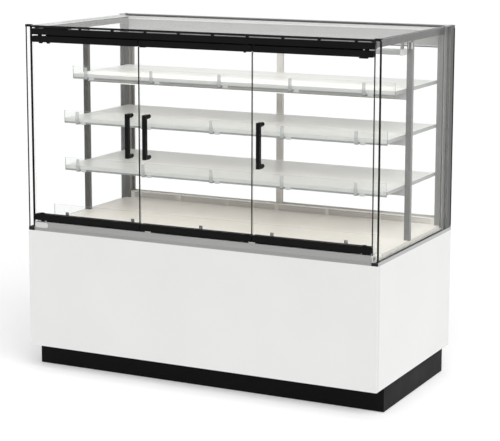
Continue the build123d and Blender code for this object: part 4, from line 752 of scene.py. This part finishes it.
def rear_pull(name, x):
    """A raised rim round the flush pull of a sliding door."""
    low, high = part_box(f"rear_door_frame_{name}")
    middle = (x, high[1], (low[2] + high[2]) / 2)
    half, corner, thick = (0.0088, 0.0618), 0.006, 0.0011
    piece(f"rear_door_pull_rim_{name}", [rim(middle, half, corner, thick)], "bright_metal",
          f"rear_door_{name}")


def thermostat_face():
    """A dark display window with a rim, and three bare domed buttons beside it."""
    _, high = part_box("rear_controls")
    x, y, z = 0.620, high[1], 0.440
    window = spanned((x + 0.0005, x + 0.0325), (y - 0.0006, y + 0.0007),
                     (z - 0.0095, z + 0.0095), "x", 0.0006)
    piece("thermostat_window", [window], "compressor_black")
    window_rim = rim((x + 0.0165, y, z), (0.0172, 0.0107), 0.003, 0.0009)
    piece("thermostat_rim", [window_rim], "grey_paint")
    first, pitch, radius, rise = 0.0085, 0.0108, 0.0038, 0.0016
    knobs = [button((x - first - pitch * spot, y, z), radius, rise) for spot in range(3)]
    piece("thermostat_buttons", knobs, "grey_paint")


glass_beads()
sill_ends()
header_spacers()
seam_light_blocks()
post_edges()
lamp_ends()
shelf_studs()
door_trim("left", True,
          clamps=[(-0.684, 0.014, 0.0), (-0.649, 0.012, 0.0)], foot_clamps=[(-0.690, 0.016)],
          wipers=[(-0.666, -0.2404)], foot_wipers=[(-0.668, -0.2404)])
door_trim("centre", True,
          clamps=[(-0.2240, 0.026, 0.0024), (0.207, 0.008, 0.0012)], foot_clamps=[],
          wipers=[(-0.2396, 0.2018), (0.2142, 0.2396)],
          foot_wipers=[(-0.2396, -0.2190), (-0.1920, 0.2018), (0.2142, 0.2246)])
door_trim("right", False,
          clamps=[(0.678, 0.034, 0.0)], foot_clamps=[(0.690, 0.014)],
          wipers=[(0.2404, 0.6720)], foot_wipers=[(0.2544, 0.6790), (0.6995, 0.7180)])
rear_pull("left", -0.7065)
rear_pull("right", 0.7065)
thermostat_face()


# --- The room -------------------------------------------------------------------------------------


def seen_plainly(finish):
    """1 where the eye, a reflection or a view through glass meets this, 0 where it only lights."""
    camera, glossy, through = [finish.node("ShaderNodeLightPath", output=f"Is {ray} Ray")
                               for ray in ("Camera", "Glossy", "Transmission")]
    return finish.maths("MAXIMUM", finish.maths("MAXIMUM", camera, glossy), through)


def make_floor(lit=0.8, speckle=0.004, lift=0.26, reach=60.0):
    """A pale floor. It carries the object's shadow, and is lifted to white where it is seen."""
    mesh = bpy.data.meshes.new("floor")
    corners = [(-reach, -reach, 0), (reach, -reach, 0), (reach, reach, 0), (-reach, reach, 0)]
    mesh.from_pydata(corners, [], [(0, 1, 2, 3)])
    floor = bpy.data.objects.new("floor", mesh)
    bpy.context.scene.collection.objects.link(floor)
    f = Finish("floor_paint")
    darker, lighter = ((lit + change,) * 3 + (1,) for change in (-speckle, speckle))
    matt = f.node("ShaderNodeBsdfDiffuse", {}, {"Color": f.blend(f.noise(0.01), darker, lighter)})
    glow = f.node("ShaderNodeEmission", {},
                  {"Color": (1, 1, 1, 1), "Strength": seen_plainly(f) * lift})
    mesh.materials.append(f.end(f.node("ShaderNodeAddShader", {}, {0: matt, 1: glow})))


def make_light(sky=0.55, sun=1.9, wide=55, towards=(0.5, -0.5, 0.7)):
    """Even light from all round, white where it is looked at, and one wide soft lamp, which stands
    to the upper front right."""
    world = bpy.data.worlds.new("studio")
    bpy.context.scene.world = world
    world.use_nodes = True
    tree = world.node_tree
    tree.nodes.clear()
    path = tree.nodes.new("ShaderNodeLightPath")
    seen = path.outputs["Is Camera Ray"]
    for ray in ("Is Glossy Ray", "Is Transmission Ray"):
        most = tree.nodes.new("ShaderNodeMath")
        most.operation = "MAXIMUM"
        tree.links.new(seen, most.inputs[0])
        tree.links.new(path.outputs[ray], most.inputs[1])
        seen = most.outputs[0]
    level = tree.nodes.new("ShaderNodeMapRange")
    level.inputs["To Min"].default_value = sky
    level.inputs["To Max"].default_value = 1.0
    tree.links.new(seen, level.inputs["Value"])
    back = tree.nodes.new("ShaderNodeBackground")
    back.inputs["Color"].default_value = (1, 1, 1, 1)
    tree.links.new(level.outputs[0], back.inputs["Strength"])
    out = tree.nodes.new("ShaderNodeOutputWorld")
    tree.links.new(back.outputs[0], out.inputs["Surface"])
    data = bpy.data.lights.new("soft_lamp", "SUN")
    data.energy = sun
    data.angle = math.radians(wide)
    lamp = bpy.data.objects.new("soft_lamp", data)
    bpy.context.scene.collection.objects.link(lamp)
    x, y, z = towards
    lamp.rotation_euler = (math.atan2(math.hypot(x, y), z), 0.0, math.atan2(x, -y))


def make_camera(down=9.22, roll=-0.13, turn=26.55):
    """The photograph's own standpoint: right of the front, a little above the top."""
    data = bpy.data.cameras.new("camera")
    data.sensor_width = 36.0
    data.lens = 119.38
    data.shift_y = -0.10
    data.clip_end = 200.0
    camera = bpy.data.objects.new("camera", data)
    camera.location = (2.933, -5.774, 1.857)
    camera.rotation_euler = (math.radians(90 - down), math.radians(roll), math.radians(turn))
    bpy.context.scene.collection.objects.link(camera)
    bpy.context.scene.camera = camera


make_floor()
make_light()
make_camera()
scene = bpy.context.scene
scene.view_settings.view_transform = "Standard"
scene.cycles.transparent_max_bounces = 40
